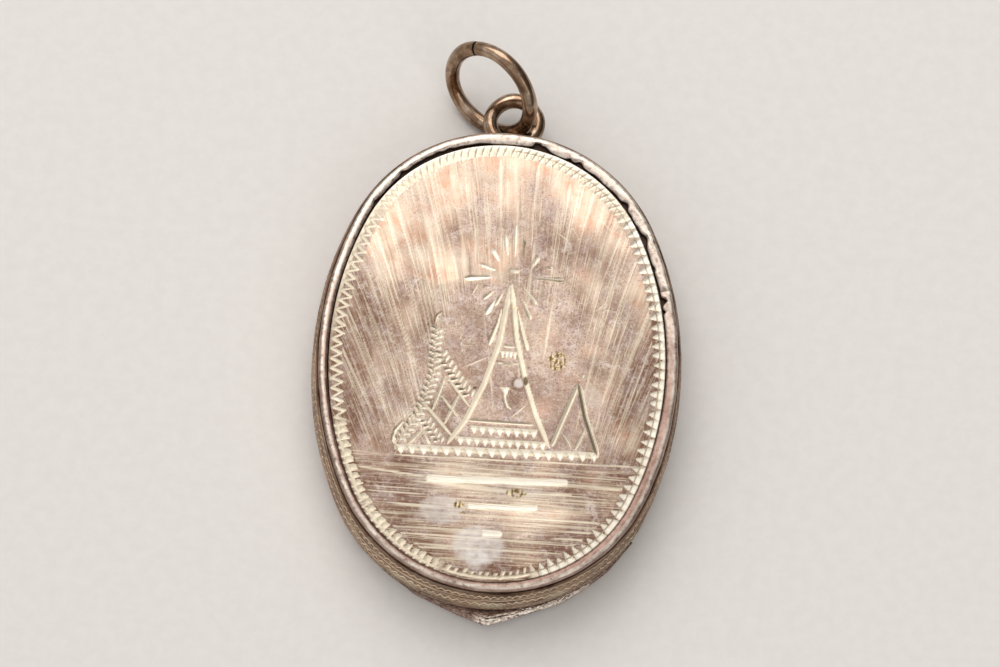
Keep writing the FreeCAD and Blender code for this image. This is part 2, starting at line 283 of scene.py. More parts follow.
def oval_plate(name, edge, face, other, cell, engrave, ring=1.32, ring_cell=0.062, stations=1280,
               off=(0.0, 0.0)):
    """A closed plate with its faces at two heights: a fine ring of quads along its edge, a
    square grid within it and a triangulated seam between them. engrave(plate) shapes and
    tones the first face."""
    up = 1 if face > other else -1
    s = np.arange(stations) * ROUND / stations
    ox, oy, nx, ny = oval(s)
    # the outermost rows drop away, which rounds the plate's edge
    rounding = ((0.0, 0.05), (0.012, 0.015), (0.04, 0.003))
    steps = [edge - back for back, _ in rounding]
    steps += list(np.linspace(edge - 0.1, edge - ring, int((ring - 0.1) / ring_cell) + 1))
    drops = [drop for _, drop in rounding] + [0.0] * (len(steps) - len(rounding))
    grow = np.array(steps)[None, :]
    ring_x = (ox[:, None] + nx[:, None] * grow).ravel()
    ring_y = (oy[:, None] + ny[:, None] * grow).ravel()
    columns = len(steps)
    inner = stations * columns
    # the square grid
    across, tall = int((HALF_WIDE + edge) / cell) + 2, int((HALF_HIGH + edge) / cell) + 2
    gx, gy = np.meshgrid(np.arange(-across, across + 1) * cell, np.arange(-tall, tall + 1) * cell)
    _, grid_grow = on_oval(gx, gy)
    inside = grid_grow < edge - ring - 0.55 * cell
    kept = inside[:-1, :-1] & inside[1:, :-1] & inside[:-1, 1:] & inside[1:, 1:]
    used = np.zeros(inside.shape, bool)
    for dr in (0, 1):
        for dc in (0, 1):
            used[dr:used.shape[0] - 1 + dr, dc:used.shape[1] - 1 + dc] |= kept
    number = np.full(inside.shape, -1)
    number[used] = inner + np.arange(used.sum())
    r, c = np.nonzero(kept)
    grid_faces = np.stack([number[r, c], number[r, c + 1],
                           number[r + 1, c + 1], number[r + 1, c]], 1)
    x = np.concatenate([ring_x, gx[used]])
    y = np.concatenate([ring_y, gy[used]])
    # the seam between the ring and the grid
    edges = np.concatenate([grid_faces[:, [i, (i + 1) % 4]] for i in range(4)])
    keys = np.sort(edges, axis=1)
    _, first, counts = np.unique(keys, axis=0, return_index=True, return_counts=True)
    border = edges[first[counts == 1]]
    loop = np.arange(stations) * columns + columns - 1
    members = np.concatenate([loop, np.unique(border)])
    place = {int(m): i for i, m in enumerate(members)}
    lines = [(i, (i + 1) % stations) for i in range(stations)]
    lines += [(place[int(a)], place[int(b)]) for a, b in border]
    made = delaunay_2d_cdt([Vector((x[m], y[m])) for m in members], lines, [], 0, 1e-7)
    seam = []
    for tri in made[2]:
        ids = [int(members[made[3][v][0]]) for v in tri]
        mx, my = x[ids].mean(), y[ids].mean()
        col, row = int(math.floor(mx / cell)) + across, int(math.floor(my / cell)) + tall
        if on_oval(mx, my)[1] < edge - ring and not kept[row, col]:
            (ax, bx, cx), (ay, by, cy) = x[ids], y[ids]
            if (bx - ax) * (cy - ay) - (by - ay) * (cx - ax) < 0:
                ids.reverse()
            seam.append(ids)
    plate = Plate(x, y, off)
    engrave(plate)
    z = plate.high.copy()
    z[:inner] -= np.tile(drops, stations)
    # the side and the other face
    rim = np.arange(stations) * columns
    far = len(x) + np.arange(stations)
    fx, fy = ox + nx * edge, oy + ny * edge
    middle = len(x) + stations
    points = np.stack([np.concatenate([x, fx, [0]]) + off[0], np.concatenate([y, fy, [0]]) + off[1],
                       np.concatenate([face + up * z, np.full(stations + 1, float(other))])], 1)
    nxt = (np.arange(stations) + 1) % stations
    ring_faces = quads(stations, columns, True, False)
    faces = [list(f) for f in ring_faces] + [list(f) for f in grid_faces] + seam
    side = [[rim[i], far[i], far[nxt[i]], rim[nxt[i]]] for i in range(stations)]
    back = [[middle, far[nxt[i]], far[i]] for i in range(stations)]
    faces += side + back
    if up < 0:
        faces = [f[::-1] for f in faces]
    pad = np.zeros(stations + 1)
    fields = {k: np.concatenate([getattr(plate, k), pad])
              for k in ("cut", "dark", "tarnish_and_sheen", "pale", "bloom", "rust")}
    return build(name, points, faces, fields, sharp=0)


# ---------------------------------------------------------------- the engraving
FAN_X, FAN_REACH = 1.6, 29.0    # the rays are upright at FAN_X and lean with the distance to it
GROUND = -8.75                  # the foot of the picture
EDGE = -0.93                    # growth of the front plate
OFF = (-0.12, -0.18)            # how far the front plate sits from the rim's middle


def border(plate, pitch, outer, inner, seed, styles):
    """The graver's border between two growths. styles gives, for each kind of cut, its first
    and last compass direction: points, heads, bars, a zigzag line or a faint one."""
    rng = np.random.default_rng(seed)
    teeth = int(round(ROUND / pitch))
    jitter = rng.normal(size=(4, teeth))
    near = np.nonzero((plate.grow > inner - 0.15) & (plate.grow < outer + 0.35))[0]
    s, grow = plate.s[near], plate.grow[near]
    way = compass(s)
    phase = s * teeth / ROUND
    tooth = phase.astype(int) % teeth
    u = (phase % 1 - 0.5) * pitch + 0.05 * jitter[0][tooth]
    deep = (outer - inner) * (1 + 0.10 * jitter[1][tooth])
    v = (outer - grow) / deep
    high, cut, dark = (np.zeros(len(near)) for _ in range(3))
    for kind, first, last in styles:
        weight = between(way, first, last)
        if kind == "points":
            half = pitch * (0.49 - 0.40 * np.clip(v, 0, 1) ** 1.1) + 0.02 * jitter[2][tooth]
            far = np.minimum(half - np.abs(u + 0.08 * v), 0.9 * (1 - v) * deep)
            tone, shade = 1.0, 0.4
        elif kind == "heads":
            ball = 0.31 + 0.04 * jitter[2][tooth] - np.hypot(u, 0.9 * (v - 0.56) * deep)
            point = np.minimum(0.14 - np.abs(u - 0.22), 1.1 - v)
            joined = np.minimum(0.30 + 0.08 * jitter[3][tooth] - v, v + 0.08) * deep
            far, tone, shade = np.maximum(np.maximum(ball, point), joined), 0.7, 0.5
        elif kind == "bars":
            far = np.minimum(0.17 + 0.04 * jitter[2][tooth] - np.abs(u - 0.35 * (v - 0.5)),
                             0.42 + 0.1 * jitter[3][tooth] - np.abs(v - 0.5))
            far = np.maximum(far, np.minimum(0.36 - v, v - 0.02) * deep)
            tone, shade = 0.66, 0.35
        else:
            zig = np.abs(2 * (phase % 1) - 1)
            slope = math.hypot(1, 2 * (outer - inner) / pitch)
            wide = 0.105 + 0.05 * np.where(phase % 1 > 0.5, 1, -0.4)
            far = wide - np.abs(v - zig) * deep / slope
            far = np.where(np.abs(v - 0.5) > 0.62, -1, far)
            tone, shade = 0.76, 0.32
        if kind == "faint":
            tone, shade = 0.6, 0.12
        inside = np.clip(far / 0.06 + 0.5, 0, 1) * weight
        high = np.minimum(high, -np.clip(far, 0, 0.2) * 0.32 * weight)
        cut = np.maximum(cut, inside * (tone + 0.06 * jitter[3][tooth]))
        # painted shade: a dark fringe round each cut, heavier on one side
        fringe = np.exp(-((far + 0.03) / 0.045) ** 2) * weight
        dark = np.maximum(dark, shade * fringe * (0.7 + 0.3 * np.sign(u)))
    plate.high[near] = np.minimum(plate.high[near], high)
    plate.cut[near] = np.maximum(plate.cut[near], cut)
    plate.dark[near] = np.maximum(plate.dark[near], dark)


def chain(plate, path, gap=0.52, long=0.66, wide=0.36, slant=30):
    """A braid of short cuts, slanting to the left and to the right by turns."""
    path = np.array(path, float)
    parts, runs = measure(path)
    hand = 1
    for at in np.arange(0.1, runs[-1], gap / 2):
        x, y = np.interp(at, runs, path[:, 0]), np.interp(at, runs, path[:, 1])
        i = min(np.searchsorted(runs, at, "right") - 1, len(parts) - 1)
        along = parts[i] / np.hypot(*parts[i])
        hand = -hand
        out = np.array([-along[1], along[0]]) * hand
        middle = np.array([x, y]) + out * 0.19
        reach = out * math.cos(math.radians(slant)) - along * math.sin(math.radians(slant))
        plate.stroke([middle - reach * long * 0.45, middle + reach * long * 0.55], wide, 0.055,
                     "drop", 0.45 * hand, 1.0, 1.0)


def teeth_row(plate, start, end, count, tall, strip=0.0):
    """A row of cuts that come to a point below, over a flat strip."""
    start, end = np.array(start), np.array(end)
    way = (end - start) / count
    unit = way / np.hypot(*way)
    down = np.array([unit[1], -unit[0]])
    if strip:
        low = down * strip * 0.5
        plate.stroke([start + low, end + low], strip, 0.03, "bar", 0.7, 0.66, 0.9)
    for i in range(count):
        plate.tooth(start + way * (i + 0.5), unit, 0.86 * np.hypot(*way) + 0.12, tall)


def scratches(plate, rng, count, xs, ys, halves, wide, deep, edge, tones):
    """Straight cuts in all directions."""
    for _ in range(count):
        turn, cx, cy = rng.uniform(0, math.pi), rng.uniform(*xs), rng.uniform(*ys)
        half = rng.uniform(*halves)
        reach_x, reach_y = math.cos(turn) * half, math.sin(turn) * half
        plate.stroke([(cx - reach_x, cy - reach_y), (cx + reach_x, cy + reach_y)], wide, deep,
                     "leaf", edge, rng.uniform(*tones), edge)


def hatch(plate):
    """The sky's light rays, the level lines of the ground and small scratches."""
    rng = np.random.default_rng(11)

    def ray(cx, cy, half, wide, shape, tone, edge):
        lean = np.clip((cx - FAN_X) / FAN_REACH, -0.5, 0.42) + rng.normal() * 0.03
        low = max(cy - half, GROUND + 0.3)
        plate.stroke([(cx + lean * (low - cy), low), (cx + lean * half, cy + half)], wide, 0.004,
                     shape, 0.2, tone, edge)

    for _ in range(260):
        cx, cy, half = rng.uniform(-12.5, 12.5), rng.uniform(-8, 16), rng.uniform(1.5, 7)
        share = 0.85 if cy < 10.5 else 0.6
        if abs(cx - 1.2) < 6.0 and rng.uniform() < share:
            continue
        ray(cx, cy, half, rng.uniform(0.17, 0.27), "leaf", rng.uniform(0.20, 0.42), 0.04)
    # the broader, spaced rays at the top
    for cx in np.arange(-9.0, 9.5, 1.05):
        ray(cx + rng.normal() * 0.2, rng.uniform(14.0, 15.5) - 0.03 * cx ** 2,
            rng.uniform(1.5, 3.2), rng.uniform(0.28, 0.50), "drop", rng.uniform(0.20, 0.36), 0.0)
    for _ in range(120):
        level = rng.uniform(-17.6, -8.9)
        middle, long = rng.uniform(-8, 8), rng.uniform(3, 16)
        slope = rng.normal() * 0.006 - 0.004
        a = (middle - long / 2, level - slope * long / 2)
        b = (middle + long / 2, level + slope * long / 2)
        plate.stroke([a, b], rng.uniform(0.10, 0.19), 0.012, "leaf", 0.2,
                     rng.uniform(0.25, 0.65), 0.1)
    scratches(plate, rng, 46, (-10, 11), (-8, 13), (0.3, 1.3), 0.08, 0.01, 0.1, (0.3, 0.6))
    for a, b in (((-3.0, -1.15), (-0.8, 0.0)), ((1.0, -5.3), (2.5, -3.9)),
                 ((-2.5, 5.2), (-2.0, 6.2)), ((4.3, 11.2), (5.3, 10.5))):
        plate.stroke([a, b], 0.10, 0.02, "leaf", 0.2, 0.75, 0.3)


def draw_borders(plate):
    plate.blank(-2.05)
    border(plate, 0.88, -1.16, -1.98, 5, (("points", 282, 52), ("zigzag", 132, 205)))
    border(plate, 0.70, -1.14, -1.86, 6,
           (("faint", 52, 132), ("heads", 205, 258), ("bars", 258, 282)))
    # the fine line that runs through the border on the right
    for a in np.arange(-30.0, 27.0, 3.0):
        run = [(float(px + nx * -1.42) + OFF[0], float(py + ny * -1.42) + OFF[1])
               for px, py, nx, ny in (oval(q) for q in np.linspace(a, a + 3.0, 5))]
        plate.stroke(run, 0.09, 0.03, "bar", 0, 0.55, 0.8)


def draw_ground(plate):
    """The long light bars and the longest lines of the ground."""
    for a, b, wide in (((-5.4, -10.72), (6.05, -10.35), 0.60),
                       ((-1.95, -12.82), (3.7, -12.62), 0.46),
                       ((-0.66, -15.02), (0.9, -15.02), 0.56)):
        plate.stroke([a, b], wide, 0.03, "bar", 0.8, 0.9, 0.3)
    plate.stroke([(-10.9, -10.1), (-5.4, -10.6)], 0.13, 0.02, "line", 0.2, 0.9, 0.3)


def draw_tower(plate):
    # its legs, and the strokes beside them
    left_leg = [(-3.85, -7.75), (-2.4, -5.5), (-1.1, -2.4), (0.0, 1.3), (0.5, 5.0), (0.68, 6.4)]
    right_leg = [(0.72, 6.4), (0.92, 5.0), (1.35, 1.7), (2.3, -2.1), (3.15, -4.7), (4.45, -7.55)]
    plate.stroke(left_leg, 0.46, 0.03, "line", 0.75, 0.78, 1.0)
    plate.stroke(right_leg, 0.42, 0.03, "line", 0.75, 0.78, 1.0)
    plate.stroke([(0.05, 4.4), (-0.25, 2.9), (-0.87, 1.0)], 0.40, 0.06, "drop", 0.6, 0.78, 0.9)
    plate.stroke([(1.3, 4.4), (1.75, 2.5), (2.3, 0.75)], 0.44, 0.06, "drop", 0.6, 0.78, 0.9)
    # the marks between them, from the top down
    plate.stroke([(1.35, 0.95), (0.12, 1.0)], 0.16, 0.03, "leaf", 0.2, 0.85, 0.8)
    teeth_row(plate, (0.05, 0.62), (1.4, 0.55), 4, 0.72)
    plate.stroke([(-0.25, -0.46), (0.6, -0.60), (1.6, -0.5)], 0.16, 0.04, "leaf", -0.3, 0.9, 0.8)
    plate.tooth(np.array([0.58, -2.55]), np.array([1.0, 0.0]), 0.72, 0.85)
    plate.stroke([(0.52, -3.0), (0.65, -3.7), (0.85, -4.2), (1.25, -4.45)], 0.26, 0.06, "leaf",
                 0.3, 0.9, 0.9)
    plate.stroke([(3.15, -5.62), (-2.35, -5.6)], 0.17, 0.04, "line", 0.3, 0.80, 0.9)
    teeth_row(plate, (-2.15, -5.98), (3.4, -6.05), 8, 0.80, 0.42)
    teeth_row(plate, (-3.2, -7.0), (4.15, -7.0), 11, 0.78, 0.42)
    # the long row that the whole picture stands on
    teeth_row(plate, (-8.1, -8.02), (8.45, -7.62), 18, 0.86, 0.56)
    plate.stroke([(-8.4, -8.95), (12.2, -8.62)], 0.12, 0.02, "line", 0.2, 0.8, 0.4)


def draw_tent(plate):
    plate.stroke([(4.6, -7.4), (6.6, -1.85)], 0.40, 0.07, "line", 0.7, 0.78, 1.0)
    plate.stroke([(6.62, -1.85), (7.25, -4.6), (8.4, -7.9)], 0.46, 0.07, "line", -0.4, 0.80, 0.9)
    plate.stroke([(5.31, -6.05), (6.2, -7.45)], 0.24, 0.05, "leaf", -0.3, 0.75, 0.8)
    plate.stroke([(6.52, -7.6), (7.3, -5.75)], 0.30, 0.05, "leaf", 0.5, 0.75, 1.0)
    plate.stroke([(6.82, -1.32), (7.08, -1.12)], 0.42, 0.06, "leaf", 0.2, 1.0, 1.0)
    plate.stroke([(6.7, -4.7), (6.95, -5.3), (7.15, -6.0)], 0.09, 0.03, "leaf", 0.0, 0.0, 1.0)


def draw_curved_roof(plate):
    """The tall roof on the left: braided edges and a lattice between them."""
    plate.stroke([(-4.85, 3.55), (-5.22, 3.2), (-5.38, 2.5)], 0.24, 0.07, "leaf", 0.5, 0.5, 1.0)
    chain(plate, [(-5.16, 2.2), (-5.22, 0.3), (-5.2, -1.5), (-5.55, -3.1), (-6.13, -4.9),
                  (-6.95, -6.5), (-7.85, -7.7)])
    chain(plate, [(-4.75, 0.2), (-4.5, -0.4), (-3.96, -1.15), (-3.08, -2.35), (-2.1, -3.5)])
    chain(plate, [(-5.75, -5.75), (-5.0, -6.75), (-4.25, -7.7)], 0.48, 0.52, 0.3)
    for a, b, wide in (((-5.18, -5.0), (-4.26, -2.0), 0.36), ((-4.2, -2.0), (-2.16, -4.5), 0.26),
                       ((-4.17, -6.1), (-3.03, -3.35), 0.36), ((-4.58, -3.6), (-3.06, -5.45), 0.24),
                       ((-6.03, -4.3), (-3.44, -7.1), 0.34), ((-7.0, -8.0), (-5.96, -6.75), 0.38),
                       ((-5.9, -6.8), (-5.2, -7.95), 0.26)):
        plate.stroke([a, b], wide, 0.06, "leaf", 0.5, 0.80, 1.0)
    plate.stroke([(-7.4, -5.95), (-8.1, -6.85), (-8.27, -7.7), (-7.8, -8.3)], 0.24, 0.06, "leaf",
                 0.4, 0.8, 1.0)
    for k in range(6):
        plate.stroke([(-7.6 + 0.17 * k, -5.15 - 0.05 * k), (-7.4 + 0.17 * k, -5.75 - 0.03 * k)],
                     0.11, 0.02, "leaf", 0, 0.85, 0.4)


def draw_star(plate):
    # each arm: inner end, outer end, width, tone, painted shadow on its steep side
    for start, end, wide, tone, edge in (
            ((0.91, 8.8), (0.86, 11.7), 0.34, 0.90, 0.5),
            ((0.3, 8.9), (0.0, 10.75), 0.42, 0.88, 0.4),
            ((-0.38, 8.3), (-1.02, 9.35), 0.44, 0.97, 0.3),
            ((-0.65, 7.5), (-1.98, 7.95), 0.30, 0.97, 0.8),
            ((-0.85, 6.92), (-3.2, 6.60), 0.50, 1.00, 1.0),
            ((-0.6, 6.05), (-1.6, 6.02), 0.14, 0.30, 0.7),
            ((-0.6, 5.8), (-1.52, 4.92), 0.26, 0.72, 0.6),
            ((0.1, 5.7), (-0.55, 4.4), 0.26, 0.74, 0.3),
            ((-0.5, 5.0), (-1.28, 3.62), 0.46, 0.97, 0.5),
            ((1.6, 8.8), (1.63, 10.4), 0.28, 0.70, 1.0),
            ((2.3, 7.9), (2.86, 8.95), 0.40, 0.92, 0.3),
            ((3.1, 7.85), (4.05, 8.14), 0.16, 0.60, 1.0),
            ((2.55, 7.05), (5.15, 7.03), 0.32, 0.85, 1.0),
            ((1.8, 6.1), (2.85, 4.8), 0.40, 0.92, 0.5),
            ((1.5, 5.4), (2.42, 3.4), 0.44, 0.82, 0.6),
            ((2.3, 6.3), (2.9, 6.0), 0.16, 0.50, 0.3)):
        lean = 0.45 if start[0] > end[0] else -0.45
        plate.stroke([start, end], wide, 0.06, "drop", lean, tone, edge)
    plate.stroke([(0.5, 7.6), (1.3, 7.5)], 0.36, 0.05, "leaf", -0.3, 0.85, 0.3)


def tone_front(plate):
    """The front's tarnish, its paler places with a painted highlight toward the top, its whitish
    bloom and its dirt.
    """
    x, y = plate.x, plate.y
    # tarnish, lighter toward the top, where that is a painted highlight, and darker toward the
    # bottom
    tarnish_and_sheen = (0.34 + 0.60 * step(-x, 6.5, 11.5) * step(-y, -7.3, -4)
           + 0.60 * step(x, 7.5, 11.5) * step(-y, -7, 1)
           + 0.45 * step(-y, 9.5, 16) + 0.45 * step(-y, 7.8, 9.8) * step(np.abs(x), 2, 8)
           - 0.5 * step(y, 7, 15))
    tarnish_and_sheen += 0.16 * swell(x, y, 21, 6) + 0.12 * swell(x, y, 22, 2.2)
    # in each list of patches: centre, radii, amount
    for cx, cy, rx, ry, amount in (
            (-11.9, -5, 1.5, 5, 0.55), (12.0, -4, 1.3, 6, 0.45), (-4.2, -17.0, 2.4, 0.9, 0.5),
            (0.5, -13.3, 4.5, 2.0, -0.45), (3.35, -13.6, 3.6, 1.5, -0.45),
            (2.5, 3.5, 4.5, 3.5, -0.25), (4.6, 10.6, 1.8, 1.6, 0.45), (7.6, 9.6, 1.8, 2.4, 0.35),
            (6.7, -11.5, 2.2, 0.8, 0.5), (6.0, -14.7, 1.5, 0.8, 0.35), (-3.2, 11.6, 2.2, 1.9, 0.3),
            (1.2, 7.9, 2.6, 2.4, 0.18), (-9.5, -11.5, 2.6, 1.4, 0.3), (5.2, -9.4, 5.0, 0.6, 0.25),
            (6.5, -13.0, 2.6, 1.1, -0.45), (-6.6, 3.0, 2.2, 3.0, 0.28),
            (-7.0, 9.5, 1.8, 2.0, 0.15)):
        tarnish_and_sheen += amount * spot(x, y, cx, cy, rx, ry)
    left_light = (step(y + 0.25 * swell(x, y, 32, 3), 5.9, 6.6) * step(-x, -0.8, 0.8)
                  * step(x, -12.2, -10))
    # paler tone, with a painted highlight toward the top and in the patches at the top and right
    pale = (0.55 * step(y + 0.5 * np.abs(x), 12.5, 18.5) + 0.40 * left_light * step(-y, -14, -9)
            + 0.2 * swell(x, y, 31, 5))
    for cx, cy, rx, ry, amount in (
            (5.8, 14.7, 1.6, 1.2, 0.8), (7.4, 12.8, 1.8, 0.9, 0.7), (9.6, 10.4, 1.5, 1.2, 0.45),
            (-9.6, 11.4, 1.5, 2.4, 0.7), (11.6, 6.0, 0.9, 3.0, 0.6), (-4.6, 8.0, 3.0, 1.2, 0.4),
            (7.5, 1.0, 0.9, 0.6, 0.5), (7.6, -3.2, 1.4, 1.4, 0.25), (6.8, 2.2, 2.0, 1.4, 0.25),
            (3.4, -13.6, 2.6, 0.9, 0.45), (6.5, -13.0, 2.0, 0.6, 0.4), (1.2, 17.6, 3.5, 1.2, 0.6)):
        pale += amount * spot(x, y, cx, cy, rx, ry)
    plate.pale = np.clip(pale, 0, 1)
    plate.tarnish_and_sheen = np.clip(tarnish_and_sheen, 0, 1)
    bloom = sum(amount * disc(x, y, cx, cy, rx, ry, 1.15, 0.8) for cx, cy, rx, ry, amount in (
        (-0.95, -16.1, 2.1, 1.6, 0.8), (-0.9, -17.4, 0.9, 0.9, 0.4), (-4.0, -13.3, 1.8, 1.2, 0.6),
        (-5.0, -10.9, 1.6, 0.9, 0.18), (7.6, -2.9, 1.0, 0.9, 0.22), (2.0, -11.2, 2.2, 0.7, 0.25)))
    plate.bloom = np.clip(bloom * (0.85 + 0.15 * swell(x, y, 43, 0.8)), 0, 1)
    # the ring of the border is whitish, most toward the top, where that is a painted highlight, and
    # the field just inside it is brown, darker at the foot
    way = np.radians(compass(plate.s))
    zone, plain = step(plate.grow, -2.06, -1.86), step(plate.grow, -1.30, -1.18)
    upper, top = step(np.sin(way + 0.25), -0.55, 0.5), step(np.sin(way), 0.55, 0.95)
    left, foot = step(-np.cos(way), 0.3, 0.7), step(-np.sin(way), 0.25, 0.75)
    plate.cut = np.maximum(plate.cut, zone * (0.04 + 0.42 * top + 0.12 * left * upper)
                           + plain * (0.10 + 0.34 * upper))
    plate.tarnish_and_sheen = plate.tarnish_and_sheen * (1 - zone * top) + 0.25 * zone * (1 - top) + 0.4 * foot * zone
    plate.tarnish_and_sheen += 0.45 * foot * step(plate.grow, -3.0, -2.2)
    plate.pale *= 1 - zone
    # painted shade in the crevice at the plate's edge, lighter at the foot
    plate.dark += (0.75 - 0.5 * foot) * step(plate.grow, EDGE - 0.07, EDGE - 0.01)


def soil_front(plate):
    """Brown residue: dashed marks beside and below the tower, and dots in the cuts."""
    x, y = plate.x, plate.y

    def darken(amount):
        plate.dark = np.maximum(plate.dark, amount)

    motes = swell(x, y, 42, 0.6)
    dashes = np.sin(2 * math.pi * x / 0.38 + 1.2 * swell(x, y, 41, 0.9))
    plate.rust = np.zeros(len(x))
    for mark in ((4.72, 0.0, 0.74, 0.86), (1.93, -11.48, 0.84, 0.38),
                 (-2.64, -12.76, 0.40, 0.32), (-2.3, -13.45, 0.2, 0.12)):
        round_mark = disc(x, y, *mark, 1.1, 0.85)
        plate.rust = np.maximum(plate.rust, round_mark * step(motes, -1.2, 0.2))
        darken(round_mark * step(dashes + 0.7 * motes, 0.0, 0.6))
    for dot in ((2.25, -1.9, 0.22, 0.42), (-1.84, -2.79, 0.16, 0.12), (-6.62, -5.35, 0.12, 0.1)):
        darken(disc(x, y, *dot, 1.1, 0.8))
    # a pale dot with a broken dark ring, by the right leg
    far = np.hypot(x - 1.72, y + 2.15)
    darken(0.9 * np.exp(-((far - 0.54) / 0.09) ** 2)
           * step(-x, -2.0, -1.5) * step(swell(x, y, 44, 0.5), -0.9, 0.0))
    plate.bloom = np.maximum(plate.bloom, 0.8 * step(-far, -0.45, -0.3))
    plate.rust = np.maximum(plate.rust, 0.9 * spot(x, y, 0.95, 4.45, 0.18))


def engrave_front(plate):
    """The picture with its border, and then the tones."""
    for part in (hatch, draw_borders, draw_ground, draw_tower, draw_tent, draw_curved_roof,
                 draw_star):
        part(plate)
    plate.high += 0.035 * swell(plate.x, plate.y, 3, 16) + 0.008 * swell(plate.x, plate.y, 4, 4)
    tone_front(plate)
    soil_front(plate)


def engrave_back(plate):
    """A plain back: worn by scratches, with a border of points."""
    rng = np.random.default_rng(12)
    scratches(plate, rng, 90, (-12, 12), (-17, 17), (1, 7), 0.16, 0.008, 0.2, (0.2, 0.5))
    plate.blank(-2.2)
    border(plate, 1.1, -1.25, -2.1, 8, (("points", 0, 180), ("points", 180, 359.9)))
    plate.high = np.minimum(plate.high, 0)
    plate.tarnish_and_sheen = np.clip(0.35 + 0.25 * swell(plate.x, plate.y, 23, 7)
                        + 0.12 * swell(plate.x, plate.y, 24, 2), 0, 1)
    plate.pale = np.clip(0.3 * swell(plate.x, plate.y, 25, 8), 0, 1)


# ---------------------------------------------------------------- paints
def ink(red, green, blue):
    """A colour as shown on a screen, 0 to 255, as the shader's linear colour."""
    return tuple(((c / 255 + 0.055) / 1.055) ** 2.4 if c > 10 else c / 255 / 12.92
                 for c in (red, green, blue)) + (1.0,)


class Paint:
    """A node material, and short ways to write its nodes."""

    def __init__(self, name):
        self.material = bpy.data.materials.new(name)
        self.material.use_nodes = True
        self.tree = self.material.node_tree
        self.tree.nodes.clear()
        self.shader = self.node("BsdfPrincipled")
        end = self.node("OutputMaterial")
        self.tree.links.new(self.shader.outputs[0], end.inputs["Surface"])
        mapping = self.node("Mapping")
        mapping.inputs["Scale"].default_value = (1000, 1000, 1000)
        self.tree.links.new(self.node("TexCoord").outputs["Object"], mapping.inputs["Vector"])
        self.mm = mapping.outputs[0]

    def node(self, kind):
        return self.tree.nodes.new("ShaderNode" + kind)

    def put(self, socket, value):
        if isinstance(value, bpy.types.NodeSocket):
            self.tree.links.new(value, socket)
        else:
            socket.default_value = value

    def math(self, operation, a, b=0.0, clamp=False):
        n = self.node("Math")
        n.operation, n.use_clamp = operation, clamp
        self.put(n.inputs[0], a)
        self.put(n.inputs[1], b)
        return n.outputs[0]

    def times(self, a, b, clamp=False):
        return self.math("MULTIPLY", a, b, clamp)

    def plus(self, a, b, clamp=False):
        return self.math("ADD", a, b, clamp)

    def axes(self):
        n = self.node("SeparateXYZ")
        self.put(n.inputs[0], self.mm)
        return n.outputs[0], n.outputs[1], n.outputs[2]

    def join(self, x, y, z=0.0):
        n = self.node("CombineXYZ")
        for socket, value in zip(n.inputs, (x, y, z)):
            self.put(socket, value)
        return n.outputs[0]

    def noise(self, scale, detail=4.0, rough=0.6, vector=None, twist=0.0):
        n = self.node("TexNoise")
        self.put(n.inputs["Vector"], vector or self.mm)
        n.inputs["Scale"].default_value = scale
        n.inputs["Detail"].default_value = detail
        n.inputs["Roughness"].default_value = rough
        n.inputs["Distortion"].default_value = twist
        return n.outputs["Fac"]

    def spread(self, value, low, high, to_low=0.0, to_high=1.0):
        n = self.node("MapRange")
        n.interpolation_type = "SMOOTHSTEP"
        for socket, number in zip(n.inputs, (value, low, high, to_low, to_high)):
            self.put(socket, number)
        return n.outputs[0]

    def mix(self, factor, a, b):
        n = self.node("Mix")
        n.data_type = "RGBA"
        self.put(n.inputs[0], factor)
        self.put(n.inputs[6], a)
        self.put(n.inputs[7], b)
        return n.outputs[2]

    def field(self, name):
        n = self.node("Attribute")
        n.attribute_name = name
        return n.outputs["Fac"]

    def bump(self, height, distance, strength=1.0, under=None):
        n = self.node("Bump")
        n.inputs["Strength"].default_value = strength
        n.inputs["Distance"].default_value = distance * MM
        self.put(n.inputs["Height"], height)
        if under:
            self.put(n.inputs["Normal"], under)
        return n.outputs[0]

    def finish(self, colour, rough, normal=None, **constants):
        self.put(self.shader.inputs["Base Color"], colour)
        self.put(self.shader.inputs["Roughness"], rough)
        if normal:
            self.put(self.shader.inputs["Normal"], normal)
        for socket, value in constants.items():
            self.shader.inputs[socket.replace("_", " ")].default_value = value
        return self.material


